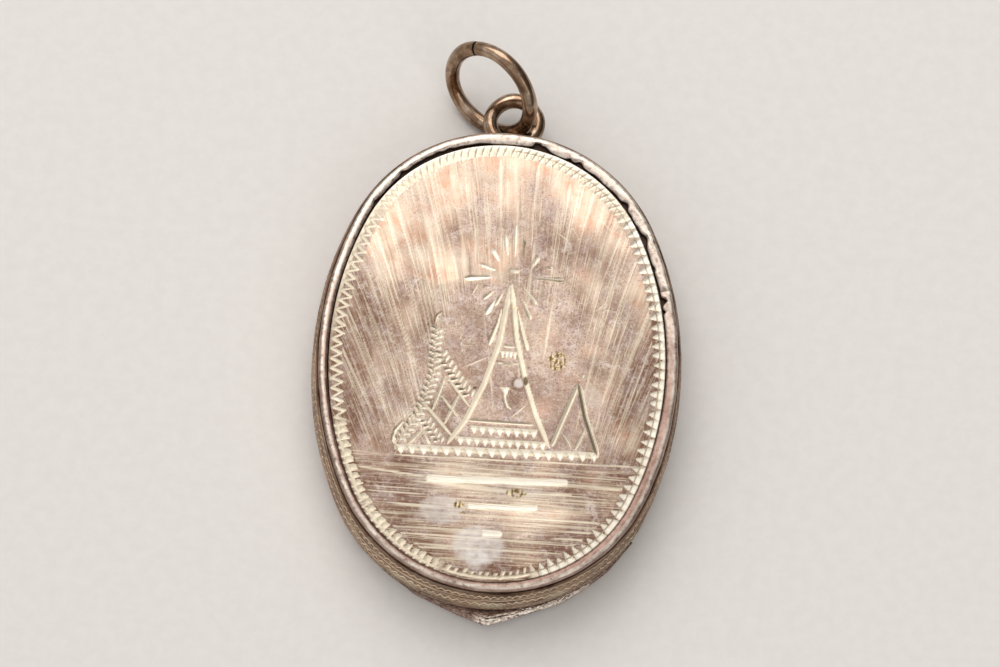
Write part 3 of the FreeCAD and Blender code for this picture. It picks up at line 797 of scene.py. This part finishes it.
def engraved_silver(name, fan):
    """Silver with tarnish and a painted highlight toward the top, hatched by fine rays and level
    lines, bright graver cuts, painted shade on the cuts' sides and brown dirt.
    """
    p = Paint(name)
    x, y, _ = p.axes()
    cut, dark, tarnish_and_sheen, pale = (p.field(f) for f in ("cut", "dark", "tarnish_and_sheen", "pale"))
    patch = p.noise(0.35, 5, 0.62)
    grain = p.noise(2.6, 6, 0.75)
    fine = p.noise(7.0, 3, 0.7)
    mottled_tarnish_and_sheen = p.plus(tarnish_and_sheen, p.times(p.math("SUBTRACT", patch, 0.5), 0.9), True)
    colour = p.mix(mottled_tarnish_and_sheen, ink(186, 164, 148), ink(116, 80, 62))
    colour = p.mix(p.spread(p.noise(0.8, 3, 0.6, twist=0.4), 0.45, 0.70, 0, 0.55), colour,
                   ink(176, 158, 156))
    cloud = p.noise(0.95, 5, 0.72, twist=0.3)
    colour = p.mix(p.spread(cloud, 0.53, 0.66, 0, 0.55), colour, ink(216, 202, 196))
    colour = p.mix(p.spread(cloud, 0.47, 0.34, 0, 0.45), colour, ink(146, 116, 102))
    colour = p.mix(p.spread(grain, 0.49, 0.67, 0, 0.6), colour, ink(214, 196, 178))
    colour = p.mix(p.spread(grain, 0.48, 0.33, 0, 0.65), colour, ink(120, 88, 72))
    colour = p.mix(p.spread(fine, 0.37, 0.50, 0.65, 0), colour, ink(108, 80, 66))
    light = p.mix(p.noise(0.9, 3), ink(250, 232, 208), ink(238, 212, 182))
    if fan:
        sky = p.times(p.math("SUBTRACT", x, FAN_X),
                     p.math("POWER", math.e, p.times(y, -1 / FAN_REACH)))
        tall = p.times(y, 0.05)
        level = p.plus(y, p.times(x, 0.006))
        low = p.spread(y, GROUND + 0.12, GROUND - 0.12)

        def lines(around, down, detail, across, deep):
            above = p.noise(1, detail, 0.65, p.join(p.times(sky, around),
                                                   p.times(tall, down)))
            below = p.noise(1, detail, 0.65, p.join(p.times(x, across),
                                                   p.times(level, deep)))
            return p.mix(low, above, below)

        broad = p.spread(lines(1.7, 1.0, 3, 0.10, 1.6), 0.44, 0.68)
        thin = p.spread(lines(5.2, 2.6, 3, 0.13, 5.5), 0.52, 0.70)
        hair = p.spread(lines(11.0, 5.0, 2, 0.2, 11.0), 0.55, 0.68)
        hollow = p.spread(lines(3.5, 2.2, 3, 0.1, 3.6), 0.46, 0.32)
        centre = p.plus(p.math("POWER", p.math("DIVIDE", p.math("SUBTRACT", x, 1.2), 7.5), 2.0),
                        p.math("POWER", p.math("DIVIDE", p.plus(y, 2.5), 9.5), 2.0))
        open_sky = p.spread(centre, 0.35, 1.35, 0.10, 1.0)
        open_sky = p.times(open_sky, p.spread(y, 8.0, 13.0, 1.0, 0.55))
        strong = p.plus(open_sky, p.times(low, 0.8), True)
        warm = p.mix(p.spread(p.noise(0.55, 4, 0.65), 0.42, 0.60, 0, 0.85), ink(214, 194, 170),
                     ink(214, 158, 126))
        colour = p.mix(p.times(pale, 0.8), colour, warm)
        bright = p.times(strong, p.plus(0.06, p.times(pale, 0.8), True))
        colour = p.mix(p.times(broad, bright), colour, light)
        colour = p.mix(p.times(hollow, p.times(strong, 0.5)), colour, ink(122, 92, 74))
        colour = p.mix(p.times(thin, p.times(strong, 0.62)), colour,
                       ink(230, 214, 186))
        colour = p.mix(p.times(hair, p.times(strong, 0.45)), colour,
                       ink(240, 226, 200))
        relief = p.plus(p.times(thin, strong), p.times(grain, 0.5))
    else:
        colour = p.mix(p.times(pale, 0.6), colour, light)
        relief = grain
    facet = p.mix(p.noise(1.6, 3), ink(250, 243, 230), ink(234, 223, 203))
    dim = p.mix(p.noise(1.1, 3), ink(230, 217, 194), ink(212, 198, 174))
    dim = p.mix(p.spread(pale, 0.2, 0.8), dim, ink(250, 240, 222))
    facet = p.mix(p.spread(cut, 0.78, 0.95), dim, facet)
    colour = p.mix(p.spread(cut, 0.10, 0.62), colour, facet)
    bloom = p.times(p.field("bloom"), p.spread(grain, 0.3, 0.6, 0.75, 1.0))
    bloom = p.times(bloom, p.spread(cut, 0.80, 0.90, 1.0, 0.2))
    colour = p.mix(bloom, colour, p.mix(p.noise(1.2, 3), ink(222, 216, 210), ink(204, 195, 187)))
    colour = p.mix(p.times(p.field("rust"), 0.85, True), colour,
                   p.mix(p.spread(fine, 0.42, 0.56), ink(158, 124, 74), ink(224, 206, 164)))
    # dark: painted shade on the steep sides of cuts and at the plate's edge, and brown dirt
    colour = p.mix(p.times(dark, 0.92, True), colour,
                   p.mix(p.noise(2.2, 2), ink(62, 46, 28), ink(104, 82, 50)))
    rough = p.spread(p.plus(grain, p.times(mottled_tarnish_and_sheen, 0.4)), 0.3, 1.1, 0.34, 0.58)
    normal = p.bump(relief, 0.02, 0.6, p.bump(fine, 0.012, 0.7))
    return p.finish(colour, rough, normal, Metallic=0.78)


def worn_metal(name, base, shade, light, metallic, rough=(0.28, 0.55), grain_scale=2.4, streak=0.0,
               dark_ink=(38, 27, 20), bump=0.02):
    """Tarnished metal: mottled tones, lighter worn edges with painted highlight (wear and sheen),
    and darker crevices, seams and gaps that are painted shade with some stains (dark).
    """
    p = Paint(name)
    x, y, z = p.axes()
    wear, dark, cut = p.field("wear"), p.field("dark"), p.field("cut")
    patch = p.noise(0.45, 5, 0.62)
    grain = p.noise(grain_scale, 5, 0.72)
    fine = p.noise(8.0, 3, 0.7)
    colour = p.mix(p.spread(patch, 0.36, 0.66), ink(*base), ink(*shade))
    colour = p.mix(p.spread(grain, 0.50, 0.74, 0, 0.6), colour, ink(*light))
    colour = p.mix(p.spread(fine, 0.26, 0.42, 0.5, 0), colour, ink(*[0.55 * c for c in shade]))
    brown = p.times(p.field("brown"), p.spread(grain, 0.35, 0.6, 1.0, 0.7))
    colour = p.mix(brown, colour, p.mix(grain, ink(*[0.62 * c for c in shade]), ink(*shade)))
    relief = p.plus(grain, p.times(fine, 0.4))
    if streak:
        around = p.math("ARCTAN2", y, x)
        lines = p.noise(1, 3, 0.7, p.join(p.times(around, 2.5), p.times(z, 5.5)))
        lines = p.spread(lines, 0.42, 0.68)
        colour = p.mix(p.times(lines, streak), colour, ink(*light))
        relief = p.plus(relief, lines)
    colour = p.mix(p.times(cut, 0.95, True), colour, ink(*light))
    colour = p.mix(p.times(wear, p.spread(grain, 0.3, 0.55), True), colour,
                   ink(*[min(255, 1.12 * c) for c in light]))
    colour = p.mix(p.times(dark, 0.95, True), colour, ink(*dark_ink))
    roughness = p.spread(p.plus(grain, p.times(dark, 0.5)), 0.3, 0.85, *rough)
    return p.finish(colour, roughness, p.bump(relief, bump, 0.6), Metallic=metallic)


def card_paper():
    p = Paint("picture_card")
    blotch, fibre = p.noise(0.25, 5, 0.6, twist=0.5), p.noise(6, 4, 0.7)
    colour = p.mix(p.spread(blotch, 0.45, 0.75), ink(222, 208, 180), ink(186, 158, 118))
    colour = p.mix(p.spread(p.noise(1.4, 4, 0.6), 0.66, 0.74, 0, 0.7), colour, ink(140, 104, 66))
    colour = p.mix(p.spread(fibre, 0.4, 0.7, 0, 0.2), colour, ink(240, 230, 208))
    return p.finish(colour, p.spread(fibre, 0.3, 0.7, 0.75, 0.95), p.bump(fibre, 0.02, 0.4))


def window_glass():
    p = Paint("window_glass")
    smear = p.noise(0.4, 4, 0.6)
    return p.finish(p.mix(smear, ink(246, 250, 248), ink(236, 242, 240)),
                    p.spread(smear, 0.45, 0.7, 0.02, 0.12), None, Alpha=0.14, IOR=1.46)


SILVER = worn_metal("tarnished_silver", (200, 174, 160), (150, 118, 104), (240, 222, 208), 0.85,
                    dark_ink=(58, 42, 34))
BAND = worn_metal("engraved_band", (166, 126, 100), (104, 68, 47), (252, 228, 198), 0.85,
                  streak=0.5, dark_ink=(46, 31, 18), bump=0.03)
BRONZE = worn_metal("ring_metal", (152, 124, 100), (106, 82, 62), (212, 190, 168), 0.95,
                    rough=(0.11, 0.24), grain_scale=1.3, bump=0.006)
GILT = worn_metal("gilt_frame", (214, 176, 108), (168, 128, 70), (250, 226, 170), 0.95)
STEEL = worn_metal("hinge_steel", (140, 132, 124), (96, 88, 80), (196, 190, 180), 0.95)
ENGRAVED = engraved_silver("engraved_silver", True)
ENGRAVED_BACK = engraved_silver("engraved_silver_back", False)
CARD, GLASS = card_paper(), window_glass()


def place(obj, paint, body, slot, *replaced):
    """Paints a piece, sets it on its body and hides the CAD nodes it stands for."""
    obj.data.materials.clear()
    obj.data.materials.append(paint)
    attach(obj, body)
    if replaced:
        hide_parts(*replaced)
    return obj


# ---------------------------------------------------------------- front plate and rim
FRONT_TOP, FRONT_UNDER = 5.68, 5.3      # heights of the front plate's faces
FRONT_CELL, BACK_CELL = 0.1015, 0.16    # spacing of the plates' grids
place(oval_plate("engraved_front", EDGE, FRONT_TOP, FRONT_UNDER, FRONT_CELL, engrave_front,
                 off=OFF), ENGRAVED, "case", "engraved_silver", "front_plate")


def gap(s):
    """How far the rim's inner edge draws back from the plate: torn and gapped at the top."""
    way = compass(s)
    torn = 0.5 + 0.26 * ripple(s, 61, 6, 30) + 0.13 * ripple(s, 66, 40, 130)
    wide = 0.17 * step(way, 93, 98) * step(-way, -126, -108)
    some = 0.10 * step(way, 100, 110) * step(-way, -150, -122)
    right = 0.07 * step(way, 10, 24) * step(-way, -90, -84)
    notch = sum(deep * np.exp(-((way - at) / width) ** 2) for at, width, deep in (
        (83, 0.8, 0.42), (81, 1.6, 0.26), (74, 0.8, 0.26), (71, 0.9, 0.22), (65, 1.6, 0.20),
        (54, 1.1, 0.42), (51, 0.7, 0.24), (43, 1.6, 0.18), (34, 0.9, 0.2), (23, 1.0, 0.42),
        (19.5, 0.6, 0.3), (120, 1.0, 0.2), (131, 0.9, 0.2)))
    foot = step(-np.sin(np.radians(way)), 0.1, 0.6)
    return np.clip(wide * (0.6 + 0.8 * torn) + (some + right) * (0.3 + 1.3 * torn)
                   + notch * (0.5 + 0.8 * torn) + 0.03 - 0.06 * foot, -0.03, 0.55)


def rim_shape(s, grow, z):
    inward = step(-grow, 0.42, 0.80) * step(z, 5.27, 5.33)
    _, _, nx, ny = oval(s)
    g = inward * (gap(s) + OFF[0] * nx + OFF[1] * ny)
    crest = step(z, 5.6, 5.8)
    way = compass(s)
    broken = 0.10 * np.exp(-((way - 26) / 0.9) ** 2)
    dz = crest * (0.014 * ripple(s, 62, 4, 22) + 0.003 * ripple(s + 3 * grow, 63, 30, 110) - broken)
    g = g + 0.02 * ripple(s, 64, 8, 40) * step(z, 5.3, 5.5) * (1 - inward)
    return g, dz


def rim_fields(s, grow, z):
    way = compass(s)
    inner = step(-grow, 0.86, 0.90)
    foot = step(-np.sin(np.radians(way)), 0.25, 0.75)
    # painted shade: the inner edge beside the plate, the underside below the ledge and the gap
    # under the torn edge
    dark = np.maximum(inner * step(-z, -5.72, -5.60) * (1 - 0.85 * foot),
                      0.6 * step(-z, -5.34, -5.20))
    hollow = step(-grow, 0.42, 0.8) * step(gap(s), 0.12, 0.3) * step(z, 5.2, 5.4)
    dark = np.maximum(dark, hollow * step(-z, -5.76, -5.62))
    up = np.sin(np.radians(way) + 0.1)
    mottle = 0.5 + 0.5 * ripple(s + 4 * grow, 65, 20, 120)
    # painted highlight: lighter on the top face of the upper side and along the crest, mottled like
    # wear
    wear = 0.5 * step(up, -0.2, 0.8) * step(z, 5.6, 5.75)
    crest = np.exp(-((grow + 0.26) / 0.13) ** 2) * step(z, 5.6, 5.74)
    wear += 0.8 * crest * (1 - 0.4 * step(up, 0.0, 0.8))
    wear *= 0.5 + 0.4 * mottle + 0.15 * step(up, 0.4, 0.9)
    # brown: painted shade and reflection at the bottom, on the low outer side and on the right, and
    # on the left a brown band that is partly painted reflection and partly tarnish
    left = step(way, 108, 122) * step(-way, -245, -205)
    brown = 0.9 * left * np.exp(-((grow + 0.12) / 0.26) ** 2) * step(mottle, -0.1, 0.5)
    brown += 0.55 * step(-up, 0.1, 0.8) * step(-grow, 0.4, 0.6) + 0.7 * step(-grow - z, -5.5, -5.0)
    brown += 0.3 * step(-up, 0.1, 0.8) + 0.2 * step(np.cos(np.radians(way)), 0.3, 0.8)
    return {"dark": np.clip(dark, 0, 1), "wear": np.clip(wear, 0, 1),
            "brown": np.clip(brown, 0, 1), "cut": np.zeros(s.shape)}


RIM = [(-0.02, 5.14), (0.0, 5.22), (0.0, 5.36), (0.0, 5.48), (-0.02, 5.58), (-0.07, 5.67),
       (-0.14, 5.735), (-0.23, 5.775), (-0.33, 5.795), (-0.44, 5.80), (-0.54, 5.798),
       (-0.64, 5.79), (-0.72, 5.775), (-0.79, 5.75), (-0.85, 5.71), (-0.885, 5.65),
       (-0.90, 5.56), (-0.90, 5.44), (-0.90, 5.35), (-0.92, 5.30), (-1.1, 5.295), (-1.33, 5.29),
       (-1.35, 5.16), (-0.7, 5.15)]
CASE_STATIONS, LID_STATIONS = 1500, 900
place(sweep("worn_rim", RIM, CASE_STATIONS, rim_shape, rim_fields), SILVER, "case",
      "tarnished_silver", "front_rim")

# ---------------------------------------------------------------- engraved band
WALL = np.array([(1.2, 0.28), (2.0, 0.46), (3.0, 0.50), (4.6, 0.34), (5.3, 0.16)])
wall_curve = np.polyfit(WALL[:, 0], WALL[:, 1], 4)
BAND_PROFILE = [(0.2, 1.2), (0.25, 1.21)]
BAND_PROFILE += [(float(np.polyval(wall_curve, h)), float(h)) for h in np.linspace(1.26, 5.24, 52)]
BAND_PROFILE += [(0.15, 5.29), (0.11, 5.30), (0.06, 5.27), (0.035, 5.2), (0.03, 5.16),
                 (-0.4, 5.15), (-0.8, 5.15), (-0.8, 3.2), (-0.8, 1.2)]


def band_cuts(s, z):
    """Depth of the graver's rows round the band, 0 to 1."""
    total = np.zeros(np.shape(s))

    def zigzag(level, high, pitch, wide, weight, drift=0.0, seed=0):
        phase = (s / ROUND * round(ROUND / pitch) + 0.15 * ripple(s, 70 + seed, 3, 20)) % 1
        wave = np.abs(2 * phase - 1) * 2 - 1
        middle = level + drift * ripple(s, 80 + seed, 2, 9)
        slope = math.hypot(1, 4 * high / pitch)
        far = np.abs(z - middle - high * wave) / slope
        return weight * np.clip(2.2 * (1 - far / wide), 0, 1)

    def line(level, wide, weight, drift=0.03, seed=0):
        middle = level + drift * ripple(s, 90 + seed, 2, 8)
        on = step(ripple(s, 95 + seed, 3, 14), -0.9, 0.2)
        return weight * on * np.clip(2 * (1 - np.abs(z - middle) / wide), 0, 1)

    def rope(level, high, pitch, weight, seed):
        phase = (s / ROUND * round(ROUND / pitch) + 0.5 * (z - level) / high) % 1
        on = step(ripple(s, 97 + seed, 3, 12), -0.7, 0.3)
        strand = step(-np.abs(phase - 0.5), -0.30, -0.16)
        return weight * on * strand * step(-np.abs(z - level), -high, -0.7 * high)

    for piece in (zigzag(4.74, 0.14, 0.60, 0.10, 0.9, 0.01, 1),
                  zigzag(3.42, 0.22, 0.66, 0.13, 1.0, 0.05, 2),
                  line(4.40, 0.09, 0.7, 0.03, 1), line(4.12, 0.12, 1.0, 0.06, 2),
                  line(3.84, 0.09, 0.7, 0.05, 4), line(2.92, 0.11, 0.9, 0.04, 5),
                  line(2.62, 0.09, 0.6, 0.05, 6), rope(2.05, 0.38, 0.50, 1.0, 1),
                  line(1.55, 0.09, 0.7, 0.02, 8)):
        total = np.maximum(total, piece)
    return total


PIT = (254.4, 2.0)          # a small pit's compass direction and height


def band_shape(s, grow, z):
    outer = step(grow, 0.08, 0.15)
    way = compass(s)
    dents = 0.02 * ripple(s, 66, 2, 9) + 0.010 * ripple(s + 2 * z, 67, 20, 70)
    stipple = 0.035 * ripple(s + 7 * z, 68, 130, 240) * ripple(s - 9 * z, 69, 90, 200)
    low_right = step(way, 276, 290) * step(-z, -2.9, -2.3)
    pit = 0.25 * np.exp(-((way - PIT[0]) / 0.55) ** 2 - ((z - PIT[1]) / 0.16) ** 2)
    push = dents + stipple * (0.35 + low_right) - 0.085 * band_cuts(s, z) - pit
    return outer * push * step(-z, -5.2, -4.9), 0 * s


def band_fields(s, grow, z):
    outer = step(grow, 0.08, 0.15)
    way = compass(s)
    cuts = band_cuts(s, z) * outer
    pit = step(-np.hypot((way - PIT[0]) / 0.7, (z - PIT[1]) / 0.2), -1.1, -0.7)
    # dark: painted shade in the seams against the lid and the rim, beside the cut rows and in the
    # pit, with stains
    seam = step(-z, -1.42, -1.24) + 0.6 * step(z, 4.92, 5.16)
    stain = step(ripple(s, 71, 6, 40) + ripple(z * 9 + s, 72, 6, 30), 0.6, 1.8)
    low_right = step(way, 274, 292) * step(-z, -3.4, -2.4)
    # painted glints: random bright flecks on the stippled lower right
    sparkle = step(ripple(s + 8 * z, 73, 90, 200) * ripple(s - 5 * z, 75, 60, 180), 0.1, 0.5)
    groove = step(np.maximum(band_cuts(s, z + 0.09), band_cuts(s, z - 0.09)), 0.3, 0.9) * (1 - cuts)
    foot = step(-np.sin(np.radians(way)), 0.6, 0.95)
    dark = np.maximum(0.8 * seam + 0.25 * stain, np.maximum(0.75 * groove, pit))
    bright = cuts * 1.1 * (1 - 0.55 * low_right) + 0.9 * low_right * sparkle * outer
    rubbed = np.exp(-((z - 3.1) / 0.5) ** 2) * step(ripple(s, 74, 5, 30), 0.2, 1)
    return {"cut": np.clip(bright, 0, 1), "dark": np.clip(dark * (1 - 0.7 * cuts), 0, 1),
            "brown": np.clip(0.35 * foot + 0.3 * low_right, 0, 1) * outer,
            "wear": 0.4 * outer * rubbed}


place(sweep("engraved_band", BAND_PROFILE, CASE_STATIONS, band_shape, band_fields, 60), BAND,
      "case", "engraved_band", "case_wall")

# ---------------------------------------------------------------- back lid
LID = [(-1.0, 0.0), (-0.56, 0.0), (-0.48, 0.05), (-0.35, 0.15), (-0.2, 0.3), (-0.10, 0.45),
       (-0.02, 0.58), (0.05, 0.7), (0.11, 0.82), (0.16, 0.94), (0.195, 1.05), (0.20, 1.12),
       (0.16, 1.15), (0.0, 1.15), (-0.72, 1.15), (-0.75, 1.12), (-0.75, 0.62), (-1.3, 0.62),
       (-1.3, 0.45), (-1.0, 0.45)]


def lid_shape(s, grow, z):
    side = step(grow, -0.55, -0.3)
    return side * (0.02 * ripple(s, 101, 4, 16) + 0.008 * ripple(s + 5 * z, 102, 60, 160)), 0 * s


def lid_fields(s, grow, z):
    # painted shade in the seam under the case, with stains
    dark = step(z, 1.02, 1.12) + 0.3 * step(ripple(s, 103, 6, 40), 0.5, 1.4)
    wear = 0.6 * np.exp(-((z - 0.3) / 0.25) ** 2) * step(ripple(s, 104, 10, 60), 0, 1)
    return {"dark": np.clip(dark, 0, 1), "wear": wear, "cut": 0 * s}


place(sweep("lid_edge", LID, LID_STATIONS, lid_shape, lid_fields), SILVER, "lid",
      "tarnished_silver", "back_rim")
place(oval_plate("lid_back", -1.02, 0.0, 0.45, BACK_CELL, engrave_back, ring=1.36, ring_cell=0.11,
                 stations=760), ENGRAVED_BACK, "lid", "engraved_silver", "back_plate")


def make_lip():
    """The thumb lip: a pointed tab, filed bright along its edge from the point to the right."""
    rng = np.random.default_rng(31)
    corners = np.array([(-8.4, -17.15), (-5.6, -19.12), (-2.0, -20.65), (0.0, -21.3), (0.5, -21.3),
                        (2.2, -20.7), (6.1, -19.18), (8.2, -17.75), (10.0, -16.15), (11.9, -13.6)])
    _, runs = measure(corners)
    n = 300
    at = np.linspace(0, runs[-1], n)
    ex, ey = np.interp(at, runs, corners[:, 0]), np.interp(at, runs, corners[:, 1])
    s, grow = on_oval(ex, ey)
    ox, oy, nx, ny = oval(s)
    root = np.minimum(-0.25, grow - 0.05)
    reach = grow - root
    filed = step(ex, -1.2, 0.2) * step(-ex, -9.5, -6.5)
    rows = [(0.0, 0.75), (0.6, 0.75), (0.93, 0.76), (0.985, 0.80), (1.0, 0.88), (0.99, 0.96)]
    top = [(t, 1.125 - 0.095 * max(0.0, (t - 0.55) / 0.39) ** 2)
           for t in np.linspace(0.95, 0.45, 13)]
    top += [(0.3, 1.125), (0.0, 1.125)]
    fields = {"wear": [], "dark": [], "brown": [], "cut": []}
    points = []
    streaks = np.repeat(rng.uniform(size=(len(rows + top), n // 12)), 12, axis=1)
    for row, (share, z) in enumerate(rows + top):
        g = root + reach * share + (rng.normal(size=n) * 0.010 if share > 0.6 else 0)
        lift = rng.normal(size=n) * (0.018 if 0.45 < share and z > 0.9 else 0)
        points.append(np.stack([ox + nx * g, oy + ny * g, np.minimum(z + lift, 1.15)], 1))
        bevel = filed * (1.0 if z > 0.9 and share > 0.60 else 0.0)
        # painted glints and dark flecks on the filed bevel
        glitter = 0.45 * np.repeat(rng.uniform(size=n // 2), 2) + 0.55 * streaks[row]
        fields["cut"].append(np.clip(bevel * (0.15 + 0.9 * (glitter > 0.42)), 0, 1))
        fields["wear"].append(np.clip(bevel * (glitter > 0.62) + rng.normal(size=n) * 0.12, 0, 1))
        # painted shade where the lip tucks under the band
        fields["dark"].append(np.full(n, 0.85 if z > 1.12 and share < 0.45 else 0.0)
                              + 0.8 * bevel * (glitter < 0.34))
        fields["brown"].append(np.clip(1 - bevel, 0, 1) * np.ones(n))
    points = np.stack(points, 1)
    rows_total = points.shape[1]
    faces = quads(n, rows_total, False, True).tolist()
    faces.append(list(range(rows_total)))
    faces.append([(n - 1) * rows_total + k for k in range(rows_total)][::-1])
    fields = {k: np.stack(v, 1) for k, v in fields.items()}
    return build("filed_lip", points.reshape(-1, 3), faces, fields, 30)


place(make_lip(), SILVER, "lid", "tarnished_silver", "thumb_lip")


# ---------------------------------------------------------------- wire rings
def wire_ring(name, centre, axis, zero, radius, wire, seed, arc=360.0, count=240, around=32):
    """A ring of slightly uneven round wire; a split ring starts at the zero direction."""
    axis, zero = Vector(axis).normalized(), Vector(zero).normalized()
    zero = (zero - axis * zero.dot(axis)).normalized()
    side = axis.cross(zero)
    frame_axes = np.array([zero, side, axis])
    closed = arc >= 360
    t = np.linspace(0, math.radians(arc), count, endpoint=not closed)
    if not closed:
        t = t + math.radians((360 - arc) / 2)
    rng = np.random.default_rng(seed)
    thick = wire * (1 + sum(0.012 * rng.normal() * np.sin(k * t + rng.uniform(0, 6.28))
                            for k in range(2, 9)))
    r = radius + sum(0.02 * rng.normal() * np.sin(k * t + rng.uniform(0, 6.28)) for k in (2, 3, 4))
    a = np.linspace(0, 2 * math.pi, around, endpoint=False)
    shrink = np.ones(count)
    if not closed:
        last = np.minimum(np.arange(count), np.arange(count)[::-1])
        shrink = np.where(last == 0, 0.90, np.where(last == 1, 0.975, 1.0))
        t[[1, -2]] = t[[0, -1]] + np.array([1, -1]) * 0.006
    lump = 1 + 0.012 * np.sin(3 * a[None, :] + 2.0 * np.sin(2 * t)[:, None])
    w = (thick * shrink)[:, None] * lump
    u = r[:, None] + w * np.cos(a)[None, :]
    v = w * np.sin(a)[None, :]
    local = np.stack([u * np.cos(t)[:, None], u * np.sin(t)[:, None], v], -1)
    points = local.reshape(-1, 3) @ frame_axes + np.array(centre)
    faces = quads(count, around, closed, True)[:, ::-1].tolist()
    dark = np.zeros((count, around))
    if not closed:
        faces.append(list(range(around)))
        faces.append([(count - 1) * around + k for k in range(around)][::-1])
        # painted shade on the ends facing each other across the split
        dark[[0, -1]] = 1.0
        dark[[1, -2]] = 0.5
    wear = np.clip(0.25 * np.sin(5 * t + seed)[:, None] + 0 * dark, 0, 1)
    return build(name, points, faces, {"dark": dark, "wear": wear, "cut": np.zeros(dark.shape)}, 50)


WIRE = 0.62                     # radius of the wire of the bail and the jump ring
BAIL_AT, BAIL_R = (0.42, 22.09, 2.5), 2.0
RING_AT, RING_R = (-1.773, 24.124, 4.376), 4.0
RING_AXIS, RING_SPLIT = (-0.5775, -0.7311, 0.3634), (-0.3644, 0.6291, 0.6866)
place(wire_ring("bail_wire", BAIL_AT, (0, 0, 1), (0, -1, 0), BAIL_R, WIRE, 3), BRONZE, "case",
      "ring_metal", "bail_loop")
place(wire_ring("split_ring", RING_AT, RING_AXIS, RING_SPLIT, RING_R, WIRE, 4, arc=358.0,
                count=300), BRONZE, "ring", "ring_metal", "jump_ring")


# ---------------------------------------------------------------- inside
BEADS, FRAME_STATIONS = 130, 1320


def picture_frame(name, outer, inner, low, high, flip):
    """A gilt frame with a beaded inner edge; flip turns its face down."""
    wide = outer - inner
    flat = [(outer - 0.02, low), (outer, low + 0.04), (outer, high - 0.06), (outer - 0.06, high)]
    crown = [(inner + wide * t, high - drop) for t, drop in (
        (0.85, 0.0), (0.72, 0.03), (0.66, 0.09), (0.60, 0.10), (0.55, 0.07), (0.50, 0.03),
        (0.42, 0.0), (0.34, 0.0), (0.26, 0.02), (0.18, 0.06), (0.10, 0.11), (0.03, 0.17))]
    profile = flat + crown + [(inner, high - 0.22), (inner, low)]
    if flip:
        profile = [(g, low + high - z) for g, z in profile][::-1]

    def shape(s, grow, z):
        t = (grow - inner) / wide
        bead = np.abs(np.sin(math.pi * s / ROUND * BEADS)) ** 0.7
        level = low + high - z if flip else z
        on = step(t, 0.02, 0.12) * step(-t, -0.58, -0.48) * step(level, high - 0.25, high - 0.15)
        return 0 * s, (1 if flip else -1) * 0.13 * on * (1 - bead)

    def fields(s, grow, z):
        t = (grow - inner) / wide
        bead = np.abs(np.sin(math.pi * s / ROUND * BEADS))
        # painted shade between the beads and in the groove beside them
        dark = (np.clip(1.2 - 3 * bead, 0, 1) * step(-t, -0.6, -0.5)
                + np.exp(-((t - 0.62) / 0.05) ** 2))
        return {"dark": np.clip(0.8 * dark, 0, 1), "cut": 0 * s,
                "wear": 0.6 * bead * step(-t, -0.55, -0.45)}

    return sweep(name, profile, FRAME_STATIONS, shape, fields, 50)


place(picture_frame("beaded_lid_frame", -1.35, -2.35, 0.8, 1.1, False), GILT, "lid",
      "gilt_frame", "lid_picture_frame")
place(picture_frame("beaded_case_frame", -1.18, -2.2, 1.4, 2.05, True), GILT, "case",
      "gilt_frame", "case_picture_frame")
for node, paint in (("inner_sleeve", GILT), ("lid_picture_card", CARD), ("case_picture_card", CARD),
                    ("lid_window", GLASS), ("case_window", GLASS), ("lid_knuckle_left", SILVER),
                    ("lid_knuckle_right", SILVER), ("case_knuckle", SILVER), ("hinge_pin", STEEL)):
    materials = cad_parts[node].data.materials
    materials.clear()
    materials.append(paint)

# ---------------------------------------------------------------- floor and light
def table_paper():
    p = Paint("floor")
    colour = p.mix(p.spread(p.noise(0.9, 5, 0.6), 0.3, 0.7), ink(232, 228, 223), ink(229, 224, 219))
    colour = p.mix(p.spread(p.noise(0.6, 2, 0.5), 0.81, 0.83), colour, ink(150, 110, 80))
    return p.finish(colour, 0.9)


FLOOR_HALF, FLOOR_LEVEL = 900, -0.02
floor = build("floor", [(FLOOR_HALF * i, FLOOR_HALF * j, FLOOR_LEVEL)
                        for i, j in ((-1, -1), (1, -1), (1, 1), (-1, 1))], [[0, 1, 2, 3]], sharp=0)
floor.data.materials.append(table_paper())

# an even studio that darkens toward the horizon and to the right
world = bpy.data.worlds.new("studio")
world.use_nodes = True
nodes, links = world.node_tree.nodes, world.node_tree.links


def world_spread(socket, low, high, to_low, to_high):
    n = nodes.new("ShaderNodeMapRange")
    n.interpolation_type = "SMOOTHSTEP"
    links.new(socket, n.inputs[0])
    for place_in, number in zip(list(n.inputs)[1:5], (low, high, to_low, to_high)):
        place_in.default_value = number
    return n.outputs[0]


direction = nodes.new("ShaderNodeSeparateXYZ")
links.new(nodes.new("ShaderNodeTexCoord").outputs["Generated"], direction.inputs[0])
shade = nodes.new("ShaderNodeMath")
shade.operation = "MULTIPLY"
links.new(world_spread(direction.outputs["Z"], 0.02, 0.55, 0.36, 0.80), shade.inputs[0])
links.new(world_spread(direction.outputs["X"], 0.15, 0.75, 1.0, 0.2), shade.inputs[1])
background = nodes["Background"]
background.inputs["Color"].default_value = (1.0, 0.99, 0.985, 1)
links.new(shade.outputs[0], background.inputs["Strength"])
bpy.context.scene.world = world


def area_light(name, place_at, target, wide, tall, radiance, colour=(1.0, 0.985, 0.965)):
    """A soft box, in metres, whose face has the given radiance."""
    data = bpy.data.lights.new(name, "AREA")
    data.shape, data.size, data.size_y = "RECTANGLE", wide, tall
    data.energy = radiance * math.pi * wide * tall
    data.color = colour
    light = bpy.data.objects.new(name, data)
    light.location = place_at
    way = Vector(target) - Vector(place_at)
    light.rotation_euler = way.to_track_quat("-Z", "Y").to_euler()
    bpy.context.scene.collection.objects.link(light)


area_light("key", (-0.07, 0.26, 0.38), (0, 0, 0), 0.38, 0.32, 2.3)
area_light("fill", (0.26, -0.33, 0.40), (0, 0, 0), 0.32, 0.32, 0.95)
